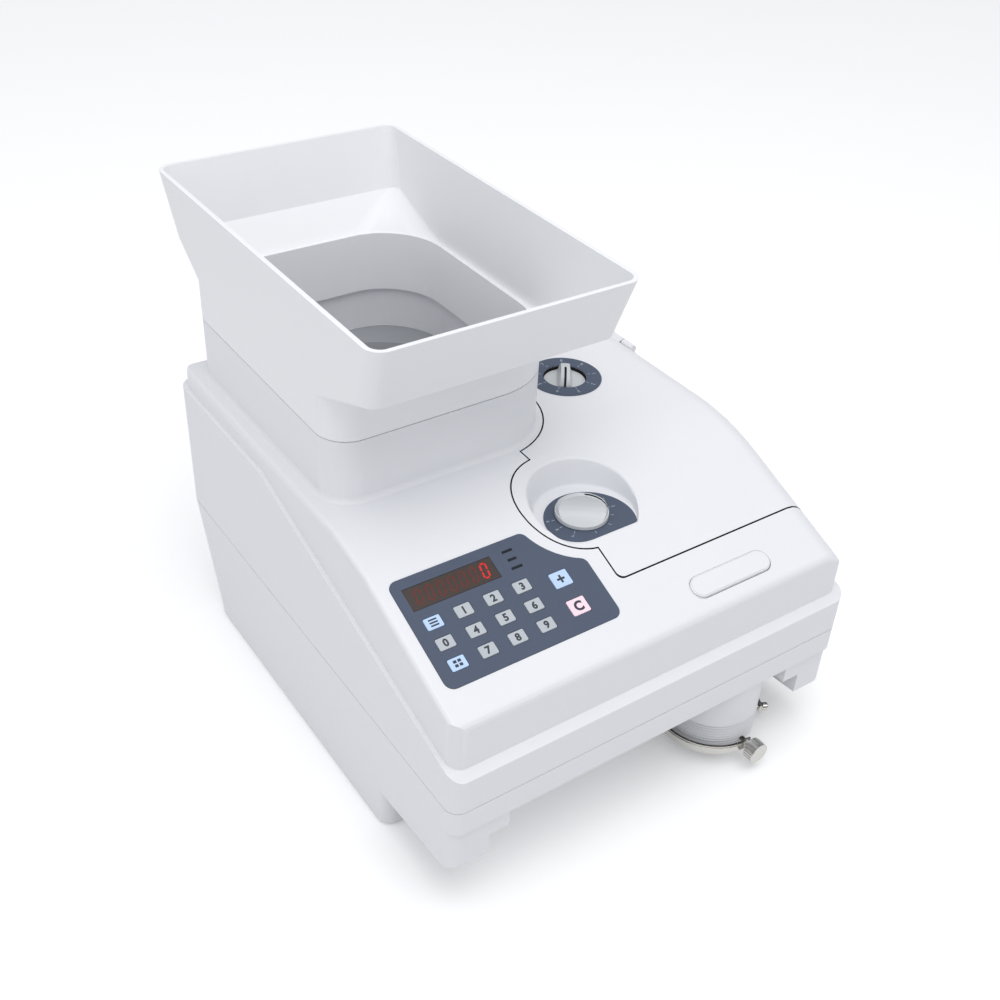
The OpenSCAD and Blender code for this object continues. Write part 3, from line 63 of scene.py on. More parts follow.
# %% [markdown]
# ## Camera
# The machine is seen from the front, from its left and from above. A camera can be dragged into place
# by eye, but such a view can't be written down and repeated. Here it is a place, three angles and a
# focal length in pixels, worked out from the straight edges of the housing. The matrix is put together
# from the camera's own right, up and ahead, which is easier to follow than Euler angles with a roll.

# %% Camera
PICTURE_PX = 1000
FOCAL_PX = 1247.1
SENSOR_MM = 36.0
YAW = math.radians(36.2)
PITCH = math.radians(36.1)
ROLL = math.radians(3.2)
FRONT_FACE_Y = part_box("top_cover")[0].y
CAMERA_PLACE = Vector((-0.3518, FRONT_FACE_Y - 0.3234, 0.5507))


def looking_matrix(place, yaw, pitch, roll):
    """A camera matrix from its place, its turn to the right, its tilt down and its roll."""
    ahead = Vector((math.sin(yaw) * math.cos(pitch), math.cos(yaw) * math.cos(pitch), -math.sin(pitch)))
    level = Vector((math.cos(yaw), -math.sin(yaw), 0))
    upright = level.cross(ahead)
    right = level * math.cos(roll) + upright * math.sin(roll)
    up = upright * math.cos(roll) - level * math.sin(roll)
    turn = Matrix((right, up, -ahead)).transposed()
    return Matrix.Translation(place) @ turn.to_4x4()


scene = bpy.context.scene
camera_data = bpy.data.cameras.new("camera")
camera_data.sensor_width = SENSOR_MM
camera_data.sensor_fit = "HORIZONTAL"
camera_data.lens = FOCAL_PX / PICTURE_PX * SENSOR_MM
camera = bpy.data.objects.new("camera", camera_data)
scene.collection.objects.link(camera)
camera.matrix_world = looking_matrix(CAMERA_PLACE, YAW, PITCH, ROLL)
scene.camera = camera
print("lens", round(camera_data.lens, 1), "mm")

# %% [markdown]
# ## Node trees
# In Blender a material, and the world too, is a small tree of nodes. Trees can be wired by hand in the
# shader editor. In a script two helpers do that work: one clears a tree, the other adds a node and
# sets its sockets by name, so the numbers of a finish stand where the finish is made. The Standard
# view shows colours about as they are written.

# %% Node helpers
scene.view_settings.view_transform = "Standard"
WHITE = (1, 1, 1, 1)


def node_tree(owner):
    """An empty node tree of a material or world."""
    owner.use_nodes = True
    owner.node_tree.nodes.clear()
    return owner.node_tree


def add_node(tree, kind, **values):
    """A new node with some of its properties and sockets set."""
    made = tree.nodes.new(kind)
    for key, value in values.items():
        if key in made.inputs:
            made.inputs[key].default_value = value
        else:
            setattr(made, key, value)
    return made


print("view", scene.view_settings.view_transform)

# %% [markdown]
# ## World
# Pale walls round a photo studio fill every shadow a little. Lamps on all sides could do that, but a
# world of one even colour is simpler and free of noise. It lights less strongly than it shows: what
# the camera sees straight, or in gloss and glass, is plain white. The Light Path node tells the two
# apart.

# %% World
WORLD_LIGHT = 0.72
WORLD_TINT = (0.95, 0.965, 1.0, 1)


def seen_straight(tree):
    """A factor that is 1 for what the camera sees directly or in gloss and glass."""
    path = add_node(tree, "ShaderNodeLightPath")
    first = add_node(tree, "ShaderNodeMath", operation="MAXIMUM")
    both = add_node(tree, "ShaderNodeMath", operation="MAXIMUM")
    tree.links.new(path.outputs["Is Camera Ray"], first.inputs[0])
    tree.links.new(path.outputs["Is Glossy Ray"], first.inputs[1])
    tree.links.new(first.outputs[0], both.inputs[0])
    tree.links.new(path.outputs["Is Transmission Ray"], both.inputs[1])
    return both.outputs[0]


def pale_world():
    """The even world: one strength to light with, another to be seen."""
    world = bpy.data.worlds.new("studio")
    scene.world = world
    tree = node_tree(world)
    light = add_node(tree, "ShaderNodeBackground", Color=WORLD_TINT, Strength=WORLD_LIGHT)
    seen = add_node(tree, "ShaderNodeBackground", Color=WHITE, Strength=1.0)
    mix = add_node(tree, "ShaderNodeMixShader")
    out = add_node(tree, "ShaderNodeOutputWorld")
    tree.links.new(seen_straight(tree), mix.inputs[0])
    tree.links.new(light.outputs[0], mix.inputs[1])
    tree.links.new(seen.outputs[0], mix.inputs[2])
    tree.links.new(mix.outputs[0], out.inputs[0])


pale_world()
print("world", scene.world.name, "lights with", WORLD_LIGHT)

# %% [markdown]
# ## Floor
# The machine stands on a white sheet that runs out of the picture. A shadow catcher could stand for
# it, but a real floor also throws light up under the front edge. A faint glow of its own keeps it
# white to the camera. Towards the machine it is a plain pale grey, so the lower parts aren't lit too
# much, and the soft shadow stays.

# %% Floor
FLOOR_REACH = 6.0
FLOOR_TONE = (0.86, 0.9)
FLOOR_GLOW = 0.2
FLOOR_BOUNCE = 0.72


def floor_material():
    """White with a glow to the camera, pale grey to the light that the machine gets."""
    material = bpy.data.materials.new("floor_white")
    tree = node_tree(material)
    speck = add_node(tree, "ShaderNodeTexNoise", Scale=9.0, Detail=2.0)
    tone = add_node(tree, "ShaderNodeMapRange", **{"To Min": FLOOR_TONE[0], "To Max": FLOOR_TONE[1]})
    surface = add_node(tree, "ShaderNodeBsdfDiffuse")
    glow = add_node(tree, "ShaderNodeEmission", Color=WHITE, Strength=FLOOR_GLOW)
    both = add_node(tree, "ShaderNodeAddShader")
    dark = add_node(tree, "ShaderNodeBsdfDiffuse", Color=(FLOOR_BOUNCE, FLOOR_BOUNCE, FLOOR_BOUNCE, 1))
    mix = add_node(tree, "ShaderNodeMixShader")
    out = add_node(tree, "ShaderNodeOutputMaterial")
    tree.links.new(speck.outputs["Fac"], tone.inputs["Value"])
    tree.links.new(tone.outputs[0], surface.inputs["Color"])
    tree.links.new(surface.outputs[0], both.inputs[0])
    tree.links.new(glow.outputs[0], both.inputs[1])
    tree.links.new(seen_straight(tree), mix.inputs[0])
    tree.links.new(dark.outputs[0], mix.inputs[1])
    tree.links.new(both.outputs[0], mix.inputs[2])
    tree.links.new(mix.outputs[0], out.inputs[0])
    return material


floor_mesh = bpy.data.meshes.new("floor")
floor_corners = [(x * FLOOR_REACH, y * FLOOR_REACH, 0) for x, y in ((-1, -1), (1, -1), (1, 1), (-1, 1))]
floor_mesh.from_pydata(floor_corners, [], [(0, 1, 2, 3)])
floor_mesh.materials.append(floor_material())
floor = bpy.data.objects.new("floor", floor_mesh)
scene.collection.objects.link(floor)
print("floor", 2 * FLOOR_REACH, "m wide")

# %% [markdown]
# ## Dark band
# The plated ring is a mirror, and in an all-white studio a mirror is just white. Photographers stand
# black card beside metal for that reason, and a light could be flagged off the same way. Here a band
# of dark cloth goes round the whole studio. It is hidden from the camera and from diffuse light, so
# gloss alone shows it and it throws no shadow.

# %% Dark band
BAND_RADIUS = 2.6
BAND_LOW, BAND_HIGH = 0.25, 1.3
BAND_SIDES = 48
BAND_TONE = (0.01, 0.03)


def band_material():
    """Nearly black cloth."""
    material = bpy.data.materials.new("band_cloth")
    tree = node_tree(material)
    weave = add_node(tree, "ShaderNodeTexNoise", Scale=300.0, Detail=2.0)
    tone = add_node(tree, "ShaderNodeMapRange", **{"To Min": BAND_TONE[0], "To Max": BAND_TONE[1]})
    surface = add_node(tree, "ShaderNodeBsdfDiffuse")
    out = add_node(tree, "ShaderNodeOutputMaterial")
    tree.links.new(weave.outputs["Fac"], tone.inputs["Value"])
    tree.links.new(tone.outputs[0], surface.inputs["Color"])
    tree.links.new(surface.outputs[0], out.inputs[0])
    return material


def band_mesh():
    """One ring of upright walls."""
    turns = [2 * math.pi * k / BAND_SIDES for k in range(BAND_SIDES)]
    points = [(BAND_RADIUS * math.cos(t), BAND_RADIUS * math.sin(t), z)
              for z in (BAND_LOW, BAND_HIGH) for t in turns]
    following = [(k + 1) % BAND_SIDES for k in range(BAND_SIDES)]
    walls = [(k, after, BAND_SIDES + after, BAND_SIDES + k) for k, after in enumerate(following)]
    mesh = bpy.data.meshes.new("band")
    mesh.from_pydata(points, [], walls)
    mesh.materials.append(band_material())
    return mesh


band = bpy.data.objects.new("band", band_mesh())
scene.collection.objects.link(band)
band.visible_camera = False
band.visible_diffuse = False
band.visible_shadow = False
print("band", len(band.data.polygons), "walls")

# %% [markdown]
# ## Lamps
# One large soft lamp hangs above and in front, so the top is the brightest side and no shadow has a
# hard edge. A weak, cooler one on the left keeps the left side apart from the front. Small lamps would
# leave hard little highlights along the mouldings; discs of over a metre don't.

# %% Lamps
LAMP_TARGET = Vector((0, 0, 0.12))


def soft_lamp(name, place, size, power, colour=(1, 1, 1)):
    """A round area lamp that looks at the middle of the machine."""
    data = bpy.data.lights.new(name, "AREA")
    data.shape = "DISK"
    data.size = size
    data.energy = power
    data.color = colour
    lamp = bpy.data.objects.new(name, data)
    scene.collection.objects.link(lamp)
    lamp.location = place
    lamp.rotation_euler = (LAMP_TARGET - Vector(place)).to_track_quat("-Z", "Y").to_euler()


soft_lamp("key", (-0.1, -0.5, 1.85), size=1.7, power=15)
soft_lamp("fill", (-1.7, -0.3, 0.9), size=1.2, power=2.7, colour=(0.94, 0.96, 1.0))

# %% [markdown]
# ## One builder for every finish
# Moulded plastic is never one flat colour: the pigment drifts a little, and the texture of the mould
# breaks up the gloss. Photographed textures could show that, but they need unwrapping. Noise in object
# space needs none, so one builder makes each finish from a colour, a roughness, and the size and depth
# (in mm) of its grain. A metal takes the same nodes with its metallic value at one.

# %% Finish builder
CLOUD_SCALE = 38.0
GLOSS_SPREAD = 0.06
GRAIN_STRENGTH = 0.35
FINISH = {}


def finish(name, colour, rough, grain=2600.0, depth=0.02, drift=0.03, metal=0.0, shine=0.4, stretch=None):
    """A procedural finish: drifting colour, uneven gloss and a fine grain."""
    material = bpy.data.materials.new(name)
    tree = node_tree(material)
    place = add_node(tree, "ShaderNodeTexCoord")
    where = place.outputs["Object"]
    if stretch:
        mapping = add_node(tree, "ShaderNodeMapping")
        mapping.inputs["Scale"].default_value = stretch
        tree.links.new(where, mapping.inputs["Vector"])
        where = mapping.outputs[0]
    cloud = add_node(tree, "ShaderNodeTexNoise", Scale=CLOUD_SCALE, Detail=3.0)
    speck = add_node(tree, "ShaderNodeTexNoise", Scale=grain, Detail=2.0)
    tint = add_node(tree, "ShaderNodeMix", data_type="RGBA")
    tint.inputs["A"].default_value = (*[c * (1 - drift) for c in colour], 1)
    tint.inputs["B"].default_value = (*[min(c * (1 + drift), 1) for c in colour], 1)
    gloss = add_node(tree, "ShaderNodeMapRange",
                     **{"To Min": rough - GLOSS_SPREAD, "To Max": rough + GLOSS_SPREAD})
    bump = add_node(tree, "ShaderNodeBump", Strength=GRAIN_STRENGTH, Distance=depth * MM)
    shader = add_node(tree, "ShaderNodeBsdfPrincipled", Metallic=metal)
    shader.inputs["Specular IOR Level"].default_value = shine
    out = add_node(tree, "ShaderNodeOutputMaterial")
    tree.links.new(where, cloud.inputs["Vector"])
    tree.links.new(where, speck.inputs["Vector"])
    tree.links.new(cloud.outputs["Fac"], tint.inputs["Factor"])
    tree.links.new(tint.outputs["Result"], shader.inputs["Base Color"])
    tree.links.new(cloud.outputs["Fac"], gloss.inputs["Value"])
    tree.links.new(gloss.outputs[0], shader.inputs["Roughness"])
    tree.links.new(speck.outputs["Fac"], bump.inputs["Height"])
    tree.links.new(bump.outputs[0], shader.inputs["Normal"])
    tree.links.new(shader.outputs[0], out.inputs[0])
    return material


print("gloss varies by", GLOSS_SPREAD, "either way")

# %% [markdown]
# ## Housing plastics
# The housing, the tray and the knobs are moulded in cool off-white and pale grey, with a fine grain
# and a soft gloss. One white for all would do, but the tray's is a shade paler, so it has a finish of
# its own. The drift is kept small, because large pale faces show every cloud.

# %% Housing plastics
FINISH["white_plastic"] = finish("white_shell", (0.79, 0.797, 0.82), 0.45, 2400, 0.02, 0.01, shine=0.35)
TRAY_WHITE = finish("tray_white", (0.86, 0.865, 0.878), 0.45, 2400, 0.02, 0.01, shine=0.35)
FINISH["grey_plastic"] = finish("grey_knob", (0.60, 0.62, 0.63), 0.38, 2200, 0.015, 0.02)
print("housing finishes", len(FINISH) + 1)

# %% [markdown]
# ## Panel and keys
# The key panel is a slate-blue film with a matt face, and the keys are soft-touch caps in grey, blue
# and pink. A clear coat over the colour is one way to make film; a low shine and a high roughness give
# the same look with fewer nodes.

# %% Panel and keys
FINISH["slate_panel"] = finish("slate_film", (0.082, 0.104, 0.150), 0.62, 3000, 0.015, 0.05, shine=0.22)
FINISH["grey_keys"] = finish("grey_key", (0.49, 0.52, 0.55), 0.6, 2800, 0.02, 0.03, shine=0.25)
FINISH["blue_keys"] = finish("blue_key", (0.52, 0.68, 0.95), 0.6, 2800, 0.02, 0.03, shine=0.25)
FINISH["pink_key"] = finish("pink_key", (0.96, 0.73, 0.81), 0.6, 2800, 0.02, 0.03, shine=0.25)
print("finishes by slot so far", len(FINISH))

# %% [markdown]
# ## Display window and its light
# The display is a smoked window with dark red bars behind it, and one digit glows. The window could be
# real tinted glass, which is slow and noisy at this size. An opaque smoked face with bars on it looks
# the same from a step away. The glow is the usual finish with some emission added.

# %% Window and light
FINISH["smoked_window"] = finish("smoked_red", (0.052, 0.037, 0.032), 0.3, 700, 0.003, 0.06, shine=0.25)
FINISH["led_module"] = finish("led_body", (0.2, 0.03, 0.03), 0.5, 1800, 0.02, 0.08)


def lit(name, colour, strength):
    """A glowing bar: the usual finish with emission."""
    material = finish(name, colour, 0.4, 900.0, 0.01, 0.15)
    shader = material.node_tree.nodes["Principled BSDF"]
    shader.inputs["Emission Color"].default_value = (*colour, 1)
    shader.inputs["Emission Strength"].default_value = strength
    return material


LED_OFF = finish("led_unlit", (0.135, 0.030, 0.024), 0.4, 900, 0.003, 0.1, shine=0.2)
LED_ON = lit("led_lit", (0.55, 0.004, 0.004), 0.35)
print("bars", LED_OFF.name, "and", LED_ON.name)

# %% [markdown]
# ## Inks and dark accents
# Printed signs are dark on the keys and pale on the dials. The seam and the tube's grooves look dark
# because light hardly gets in, so their walls get painted shade. They could share one black, but ink,
# painted gap shade and painted groove shade differ in depth and gloss, and that shows side by side.

# %% Inks and accents
INK_DARK = finish("ink_dark", (0.055, 0.062, 0.075), 0.65, 2500, 0.005, 0.12, shine=0.2)
INK_BLACK = finish("ink_black", (0.012, 0.015, 0.022), 0.65, 2500, 0.005, 0.12, shine=0.2)
INK_PALE = finish("ink_pale", (0.42, 0.46, 0.52), 0.65, 2500, 0.005, 0.06, shine=0.2)
# Painted shade for the downward walls of the tube's grooves.
GROOVE = finish("groove_shade", (0.02, 0.021, 0.023), 0.7, 2400, 0.02, 0.06, shine=0.2)
# Painted shade: nearly black and matt, for the walls of narrow gaps where little light gets in.
PAINTED_GAP_SHADE = finish("gap_painted_shade", (0.02, 0.02, 0.022), 0.85, 1500, 0.03, 0.2, shine=0.1)
print("inks and accents", [m.name for m in (INK_DARK, INK_BLACK, INK_PALE, GROOVE, PAINTED_GAP_SHADE)])

# %% [markdown]
# ## Metals
# The bag ring and its screw are nickel plated, shafts and pins are turned steel, brackets are zinc
# plated sheet, and the bush is sintered bronze. Each could have its own shader; metallic one, a true
# colour and the right roughness are enough. On turned steel the noise is squeezed along Z, so the
# tool marks run round.

# %% Metals
FINISH["nickel"] = finish("nickel_plate", (0.60, 0.59, 0.56), 0.13, 600, 0.004, 0.05, metal=1.0)
FINISH["bright_steel"] = finish("turned_steel", (0.6, 0.6, 0.6), 0.3, 900, 0.01, 0.06, metal=1.0,
                                stretch=(1, 1, 12))
FINISH["plated_sheet"] = finish("zinc_plate", (0.55, 0.56, 0.55), 0.38, 300, 0.01, 0.08, metal=1.0)
FINISH["bronze"] = finish("sintered_bronze", (0.5, 0.33, 0.14), 0.45, 3500, 0.03, 0.15, metal=1.0)
print("finishes by slot so far", len(FINISH))

# %% [markdown]
# ## Inside pieces
# Under the cover are lacquered boards, a painted motor, grey mouldings, black mouldings and rubber.
# They show when the cover swings up or the tray is lifted, so they get finishes as true as the rest.
# Flat colours would be quicker, but dark flat colours look like holes.

# %% Inside pieces
FINISH["circuit_board"] = finish("board_lacquer", (0.03, 0.15, 0.07), 0.35, 500, 0.03, 0.2)
FINISH["black_plastic"] = finish("black_moulding", (0.02, 0.02, 0.022), 0.5, 2200, 0.02, 0.15)
FINISH["black_rubber"] = finish("black_rubber", (0.022, 0.022, 0.022), 0.75, 1500, 0.05, 0.2)
FINISH["inner_plastic"] = finish("inner_grey", (0.3, 0.31, 0.33), 0.5, 2000, 0.02, 0.05)
FINISH["motor_paint"] = finish("motor_black", (0.03, 0.03, 0.032), 0.45, 1200, 0.03, 0.15)
print("finishes by slot", len(FINISH), "slots without one", set(slot_of_node.values()) - set(FINISH))

# %% [markdown]
# ## Whole faces
# A solid from the construction model comes as many flat facets. Bevels need whole faces and clean
# edges, so doubled points are joined, slivers removed, and flat neighbours dissolved into one face.
# Remeshing would give an even mesh too, but it would blur the small keys. Dissolving keeps every true
# edge where it was.

# %% Whole faces
MERGE = 0.004 * MM
SLIVER = 0.003 * MM
FLAT = math.radians(0.6)


def clean_shape(name):
    """A node's mesh with its facets joined into whole faces, ready to soften."""
    shape = bmesh.new()
    shape.from_mesh(nodes[name].data)
    bmesh.ops.remove_doubles(shape, verts=shape.verts, dist=MERGE)
    bmesh.ops.dissolve_degenerate(shape, edges=shape.edges, dist=SLIVER)
    bmesh.ops.dissolve_limit(shape, angle_limit=FLAT, verts=shape.verts, edges=shape.edges)
    return shape


trial = clean_shape("top_cover")
print("top cover:", len(nodes["top_cover"].data.polygons), "facets become", len(trial.faces), "faces")
trial.free()

# %% [markdown]
# ## Soft edges
# No moulded or turned edge is sharp: a thin round catches a line of light. It could be faked in the
# shader, but then it is missing from the outline and from the mesh. A bevel modifier makes real faces,
# and a weighted-normal modifier keeps the large faces flat in shade beside it. The softened copy stands
# for its solid, so motion and collision still come from the construction model.

# %% Soft edges
SHARP = math.radians(38.0)
BEVEL_SEGMENTS = 2


def form_mesh(name, reshape, accent_faces):
    """The cleaned mesh of a node: reshaped, its accent faces marked, its sharp edges marked."""
    shape = clean_shape(name)
    for face in shape.faces:
        face.smooth = True
        face.material_index = 1 if accent_faces and accent_faces(face) else 0
    if reshape:
        reshape(shape)
    for edge in shape.edges:
        edge.smooth = not (edge.is_manifold and edge.calc_face_angle(0) > SHARP)
    mesh = bpy.data.meshes.new(name + "_form")
    shape.to_mesh(mesh)
    shape.free()
    return mesh


def softened(name, edge_mm, material, reshape=None, accent=None, accent_faces=None):
    """A copy of a CAD node with soft edges, which replaces the node; some faces may take an accent."""
    mesh = form_mesh(name, reshape, accent_faces)
    mesh.materials.append(material)
    if accent:
        mesh.materials.append(accent)
    piece = bpy.data.objects.new(name + "_form", mesh)
    scene.collection.objects.link(piece)
    bevel = piece.modifiers.new("edge", "BEVEL")
    bevel.width = edge_mm * MM
    bevel.segments = BEVEL_SEGMENTS
    bevel.limit_method = "ANGLE"
    bevel.angle_limit = SHARP
    bevel.use_clamp_overlap = True
    bevel.harden_normals = True
    even = piece.modifiers.new("even", "WEIGHTED_NORMAL")
    even.keep_sharp = True
    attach(piece, body_of_node[name])
    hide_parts(name)
    return piece


print("edges sharper than", round(math.degrees(SHARP)), "degrees are softened")

# %% [markdown]
# ## The seam round the access cover
# The gap round the cover reads as a thin dark line, because hardly any light gets down between its two
# walls. A line drawn on top would be the easy way, but it would stay behind when the cover swings. So
# the walls themselves are painted with dark, matt shade. To find them, short rays leave each upright
# face near its edges: where enough of them meet the other shell at once, the face lies across the gap.

# %% Seam walls
GAP_REACH = 1.6 * MM
EDGE_INSET = 0.3 * MM
RAY_LIFT = 0.01 * MM
ENOUGH_HITS = 0.4
UPRIGHT_Z = 0.5


def across_gap(other):
    """A test for faces that look across a narrow gap at another node."""
    mesh = nodes[other].data
    tree = BVHTree.FromPolygons([v.co for v in mesh.vertices], [p.vertices for p in mesh.polygons])

    def looks_across(face):
        if abs(face.normal.z) > UPRIGHT_Z:
            return False
        hits = 0
        for loop in face.loops:
            start, end = loop.vert.co, loop.link_loop_next.vert.co
            inward = face.normal.cross((end - start).normalized())
            spot = (end + start) / 2 + inward * EDGE_INSET + face.normal * RAY_LIFT
            hits += tree.ray_cast(spot, face.normal, GAP_REACH)[0] is not None
        return hits > ENOUGH_HITS * len(face.loops)

    return looks_across


def either(*tests):
    """A test that holds where any of some tests does."""
    return lambda face: any(test(face) for test in tests)


# The walls found this way get painted gap shade.
print("walls within", round(GAP_REACH / MM, 1), "mm of the other shell take the seal")

# %% [markdown]
# ## Pointer slots and the rear dial's well
# Each knob has a narrow slot along its crest, filled with black paint, that points at the scale. The
# rear knob also stands in a round well; the gap round it lies in shade, so the well's wall gets
# painted shade. The paint could be a separate thin piece, but it would flicker where it touches. A face
# test picks the faces of the slot, and of the well's wall, on the solid itself.

# %% Slots and well
SLOT_HALF = 0.72 * MM
SLOT_LIFT = 4 * MM
WELL_REACH = 1.2 * MM
WELL_UPRIGHT_Z = 0.3


def in_slot(knob, turn_deg):
    """A test for the faces of the pointer slot that runs along a knob's crest."""
    low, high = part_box(knob)
    axis = (low + high) / 2
    turn = math.radians(turn_deg)
    along = Vector((math.cos(turn), math.sin(turn), 0))
    across = Vector((-along.y, along.x, 0))

    def holds(face):
        middle = face.calc_center_median()
        inside = all(abs((v.co - axis).dot(across)) < SLOT_HALF for v in face.verts)
        return inside and middle.z > low.z + SLOT_LIFT and (middle - axis).dot(along) > 0

    return holds


def well_wall(knob):
    """A test for the upright wall of the round well that a knob stands in."""
    low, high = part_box(knob)
    axis = (low + high) / 2
    r = (high.x - low.x) / 2

    def holds(face):
        middle = face.calc_center_median() - axis
        near = abs(math.hypot(middle.x, middle.y) - r) < WELL_REACH
        return near and abs(face.normal.z) < WELL_UPRIGHT_Z and face.normal.dot(middle) < 0

    return holds


print("slot", round(2 * SLOT_HALF / MM, 2), "mm wide")

# %% [markdown]
# ## Grooves in the outlet tube
# Thin grooves are turned into the tube above its end. They are so narrow that the bright floor fills
# them with light and they all but vanish. Deeper grooves would thin the wall, so the walls that face
# down are painted with dark shade instead, and the rings show as fine lines.

# %% Tube grooves
TUBE_END_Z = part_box("outlet_tube")[0].z
GROOVE_LOW, GROOVE_HIGH = 2 * MM, 26 * MM
GROOVE_DOWN_Z = -0.3


def tube_groove(face):
    """A test for the upper walls of the grooves turned into the outlet tube."""
    rise = face.calc_center_median().z - TUBE_END_Z
    return face.normal.z < GROOVE_DOWN_Z and GROOVE_LOW < rise < GROOVE_HIGH


print("tube ends", round(TUBE_END_Z / MM, 1), "mm above the table")

# %% [markdown]
# ## Knob heights
# The front knob stands tall and slim, and the rear knob has a thick base under its crest. Scaling a
# whole object would also move the spindle under the plate. So these two helpers move the points above
# the plate alone, in proportion to their height, and the spindle stays where it turns.

# %% Knob heights
BASE_MARGIN = 0.1 * MM


def taller_knob(knob, plate, tall, slim):
    """A reshaper that makes a knob taller and slimmer above its plate."""
    axis = sum(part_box(knob), Vector()) / 2
    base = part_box(plate)[1].z

    def reshape(shape):
        for v in shape.verts:
            if v.co.z > base:
                x = axis.x + (v.co.x - axis.x) * slim
                y = axis.y + (v.co.y - axis.y) * slim
                v.co = Vector((x, y, base + (v.co.z - base) * tall))

    return reshape


def thicker_base(knob, spindle_mm, lift_mm):
    """A reshaper that thickens a knob's base and leaves its crest where it is."""
    low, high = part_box(knob)
    base = low.z + spindle_mm * MM
    tall = high.z - base
    lift = lift_mm * MM

    def reshape(shape):
        for v in shape.verts:
            if v.co.z > base + BASE_MARGIN:
                v.co.z = base + lift + (v.co.z - base) * (tall - lift) / tall

    return reshape


# %% [markdown]
# ## The recess round the front dial
# The front dial lies in a hollow of the cover, rounded at its mouth and at its foot so that it leaves
# the mould cleanly. A modifier would round every edge alike. So this is done in bmesh: the edges where
# the wall meets a level face are picked, at the mouth and then at the foot, and just those are bevelled.

# %% Recess
RECESS_IN, RECESS_OUT = 20 * MM, 42 * MM
RECESS_FRONT = 7 * MM
RECESS_CREASE = math.radians(15)
RECESS_SEGMENTS = 4
MOUTH_ROUND, MOUTH_RISE = 1.3 * MM, 3 * MM
FOOT_ROUND, FOOT_SPREAD = 1.5 * MM, 0.3 * MM
LEVEL_Z, WALL_Z, WALL_FACES_IN = 0.8, 0.75, 0.3


def recess_edges(shape, axis, is_there):
    """The edges between the recess wall and a level face, at the heights that a test picks."""
    chosen = []
    for edge in shape.edges:
        middle = (edge.verts[0].co + edge.verts[1].co) / 2
        level = math.hypot(middle.x - axis.x, middle.y - axis.y)
        if not (edge.is_manifold and is_there(middle.z) and RECESS_IN < level < RECESS_OUT):
            continue
        if edge.calc_face_angle(0) < RECESS_CREASE or middle.y < axis.y - RECESS_FRONT:
            continue
        inward = Vector((axis.x - middle.x, axis.y - middle.y, 0)).normalized()
        flats = [f for f in edge.link_faces if f.normal.z > LEVEL_Z]
        walls = [f for f in edge.link_faces
                 if f.normal.z < WALL_Z and f.normal.dot(inward) > WALL_FACES_IN]
        if flats and walls:
            chosen.append(edge)
    return chosen


def round_recess(shape):
    """Rounds the mouth and the foot of the recess that the thickness dial lies in."""
    axis = sum(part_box("thickness_knob"), Vector()) / 2
    floor_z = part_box("thickness_plate")[0].z
    at_mouth = (MOUTH_ROUND, lambda z: z > floor_z + MOUTH_RISE)
    at_foot = (FOOT_ROUND, lambda z: abs(z - floor_z) < FOOT_SPREAD)
    for offset, is_there in (at_mouth, at_foot):
        chosen = recess_edges(shape, axis, is_there)
        bmesh.ops.bevel(shape, geom=chosen, offset=offset, offset_type="OFFSET", affect="EDGES",
                        segments=RECESS_SEGMENTS, profile=0.5, clamp_overlap=False, material=-1)
        print("recess edges rounded", len(chosen))


print("recess rounds", round(MOUTH_ROUND / MM, 1), "and", round(FOOT_ROUND / MM, 1), "mm")

# %% [markdown]
# ## Dress every solid
# Now each solid gets its width of edge, its finish and, where it has them, its accent and its new
# shape. This could be one call for each piece, but most pieces follow from their material slot. So
# small tables hold the exceptions alone, and one loop does the rest.

# %% Dress every solid
USUAL_EDGE_MM = 0.2
EDGE_MM = {"white_plastic": 0.4, "nickel": 0.25, "grey_plastic": 0.35,
           "grey_keys": 0.3, "blue_keys": 0.3, "pink_key": 0.3}
OWN_EDGE_MM = {"outlet_tube": 0.1, "access_cover": 0.25, "top_cover": 0.25, "hopper_tray": 0.7}
OWN_FINISH = {"hopper_tray": TRAY_WHITE}
ACCENT = {
    # Painted shade on the walls across the cover's gap, on both shells, and on the rear dial's well wall.
    "access_cover": (PAINTED_GAP_SHADE, either(across_gap("top_cover"), well_wall("diameter_knob"))),
    "top_cover": (PAINTED_GAP_SHADE, across_gap("access_cover")),
    "thickness_knob": (INK_BLACK, in_slot("thickness_knob", -36)),
    "diameter_knob": (INK_BLACK, in_slot("diameter_knob", -126)),
    "outlet_tube": (GROOVE, tube_groove),
}
RESHAPE = {
    "thickness_knob": taller_knob("thickness_knob", "thickness_plate", tall=1.25, slim=0.97),
    "diameter_knob": thicker_base("diameter_knob", spindle_mm=3.8, lift_mm=2.4),
    "access_cover": round_recess,
}
forms = {}
for name in sorted(nodes):
    slot_name = slot_of_node[name]
    edge_mm = OWN_EDGE_MM.get(name, EDGE_MM.get(slot_name, USUAL_EDGE_MM))
    material = OWN_FINISH.get(name, FINISH[slot_name])
    forms[name] = softened(name, edge_mm, material, RESHAPE.get(name), *ACCENT.get(name, ()))
print("softened", len(forms), "pieces,", sum(len(p.data.polygons) for p in forms.values()), "faces")
for name in ACCENT:
    print(name, "accent faces", sum(p.material_index for p in forms[name].data.polygons))

# %% [markdown]
# ## Placing flat marks
# Printed signs lie on a sloping panel and on flat dials. Each could be turned by hand, but it would be
# left behind when the panel's place changes. So a mark is made flat about the origin, and a matrix
# carries it to the middle of a solid's outer face: X and Y lie in the face and Z points out of it. The
# mark rides on the body of the solid that it is printed on.

# %% Placing marks
SLOPE = math.radians(21.8)
UP_SLOPE = Vector((0, math.cos(SLOPE), math.sin(SLOPE)))
OUT_OF_SLOPE = Vector((0, -math.sin(SLOPE), math.cos(SLOPE)))
INK = 0.04 * MM


def centre(name):
    """The middle of a node's box."""
    low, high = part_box(name)
    return (low + high) / 2


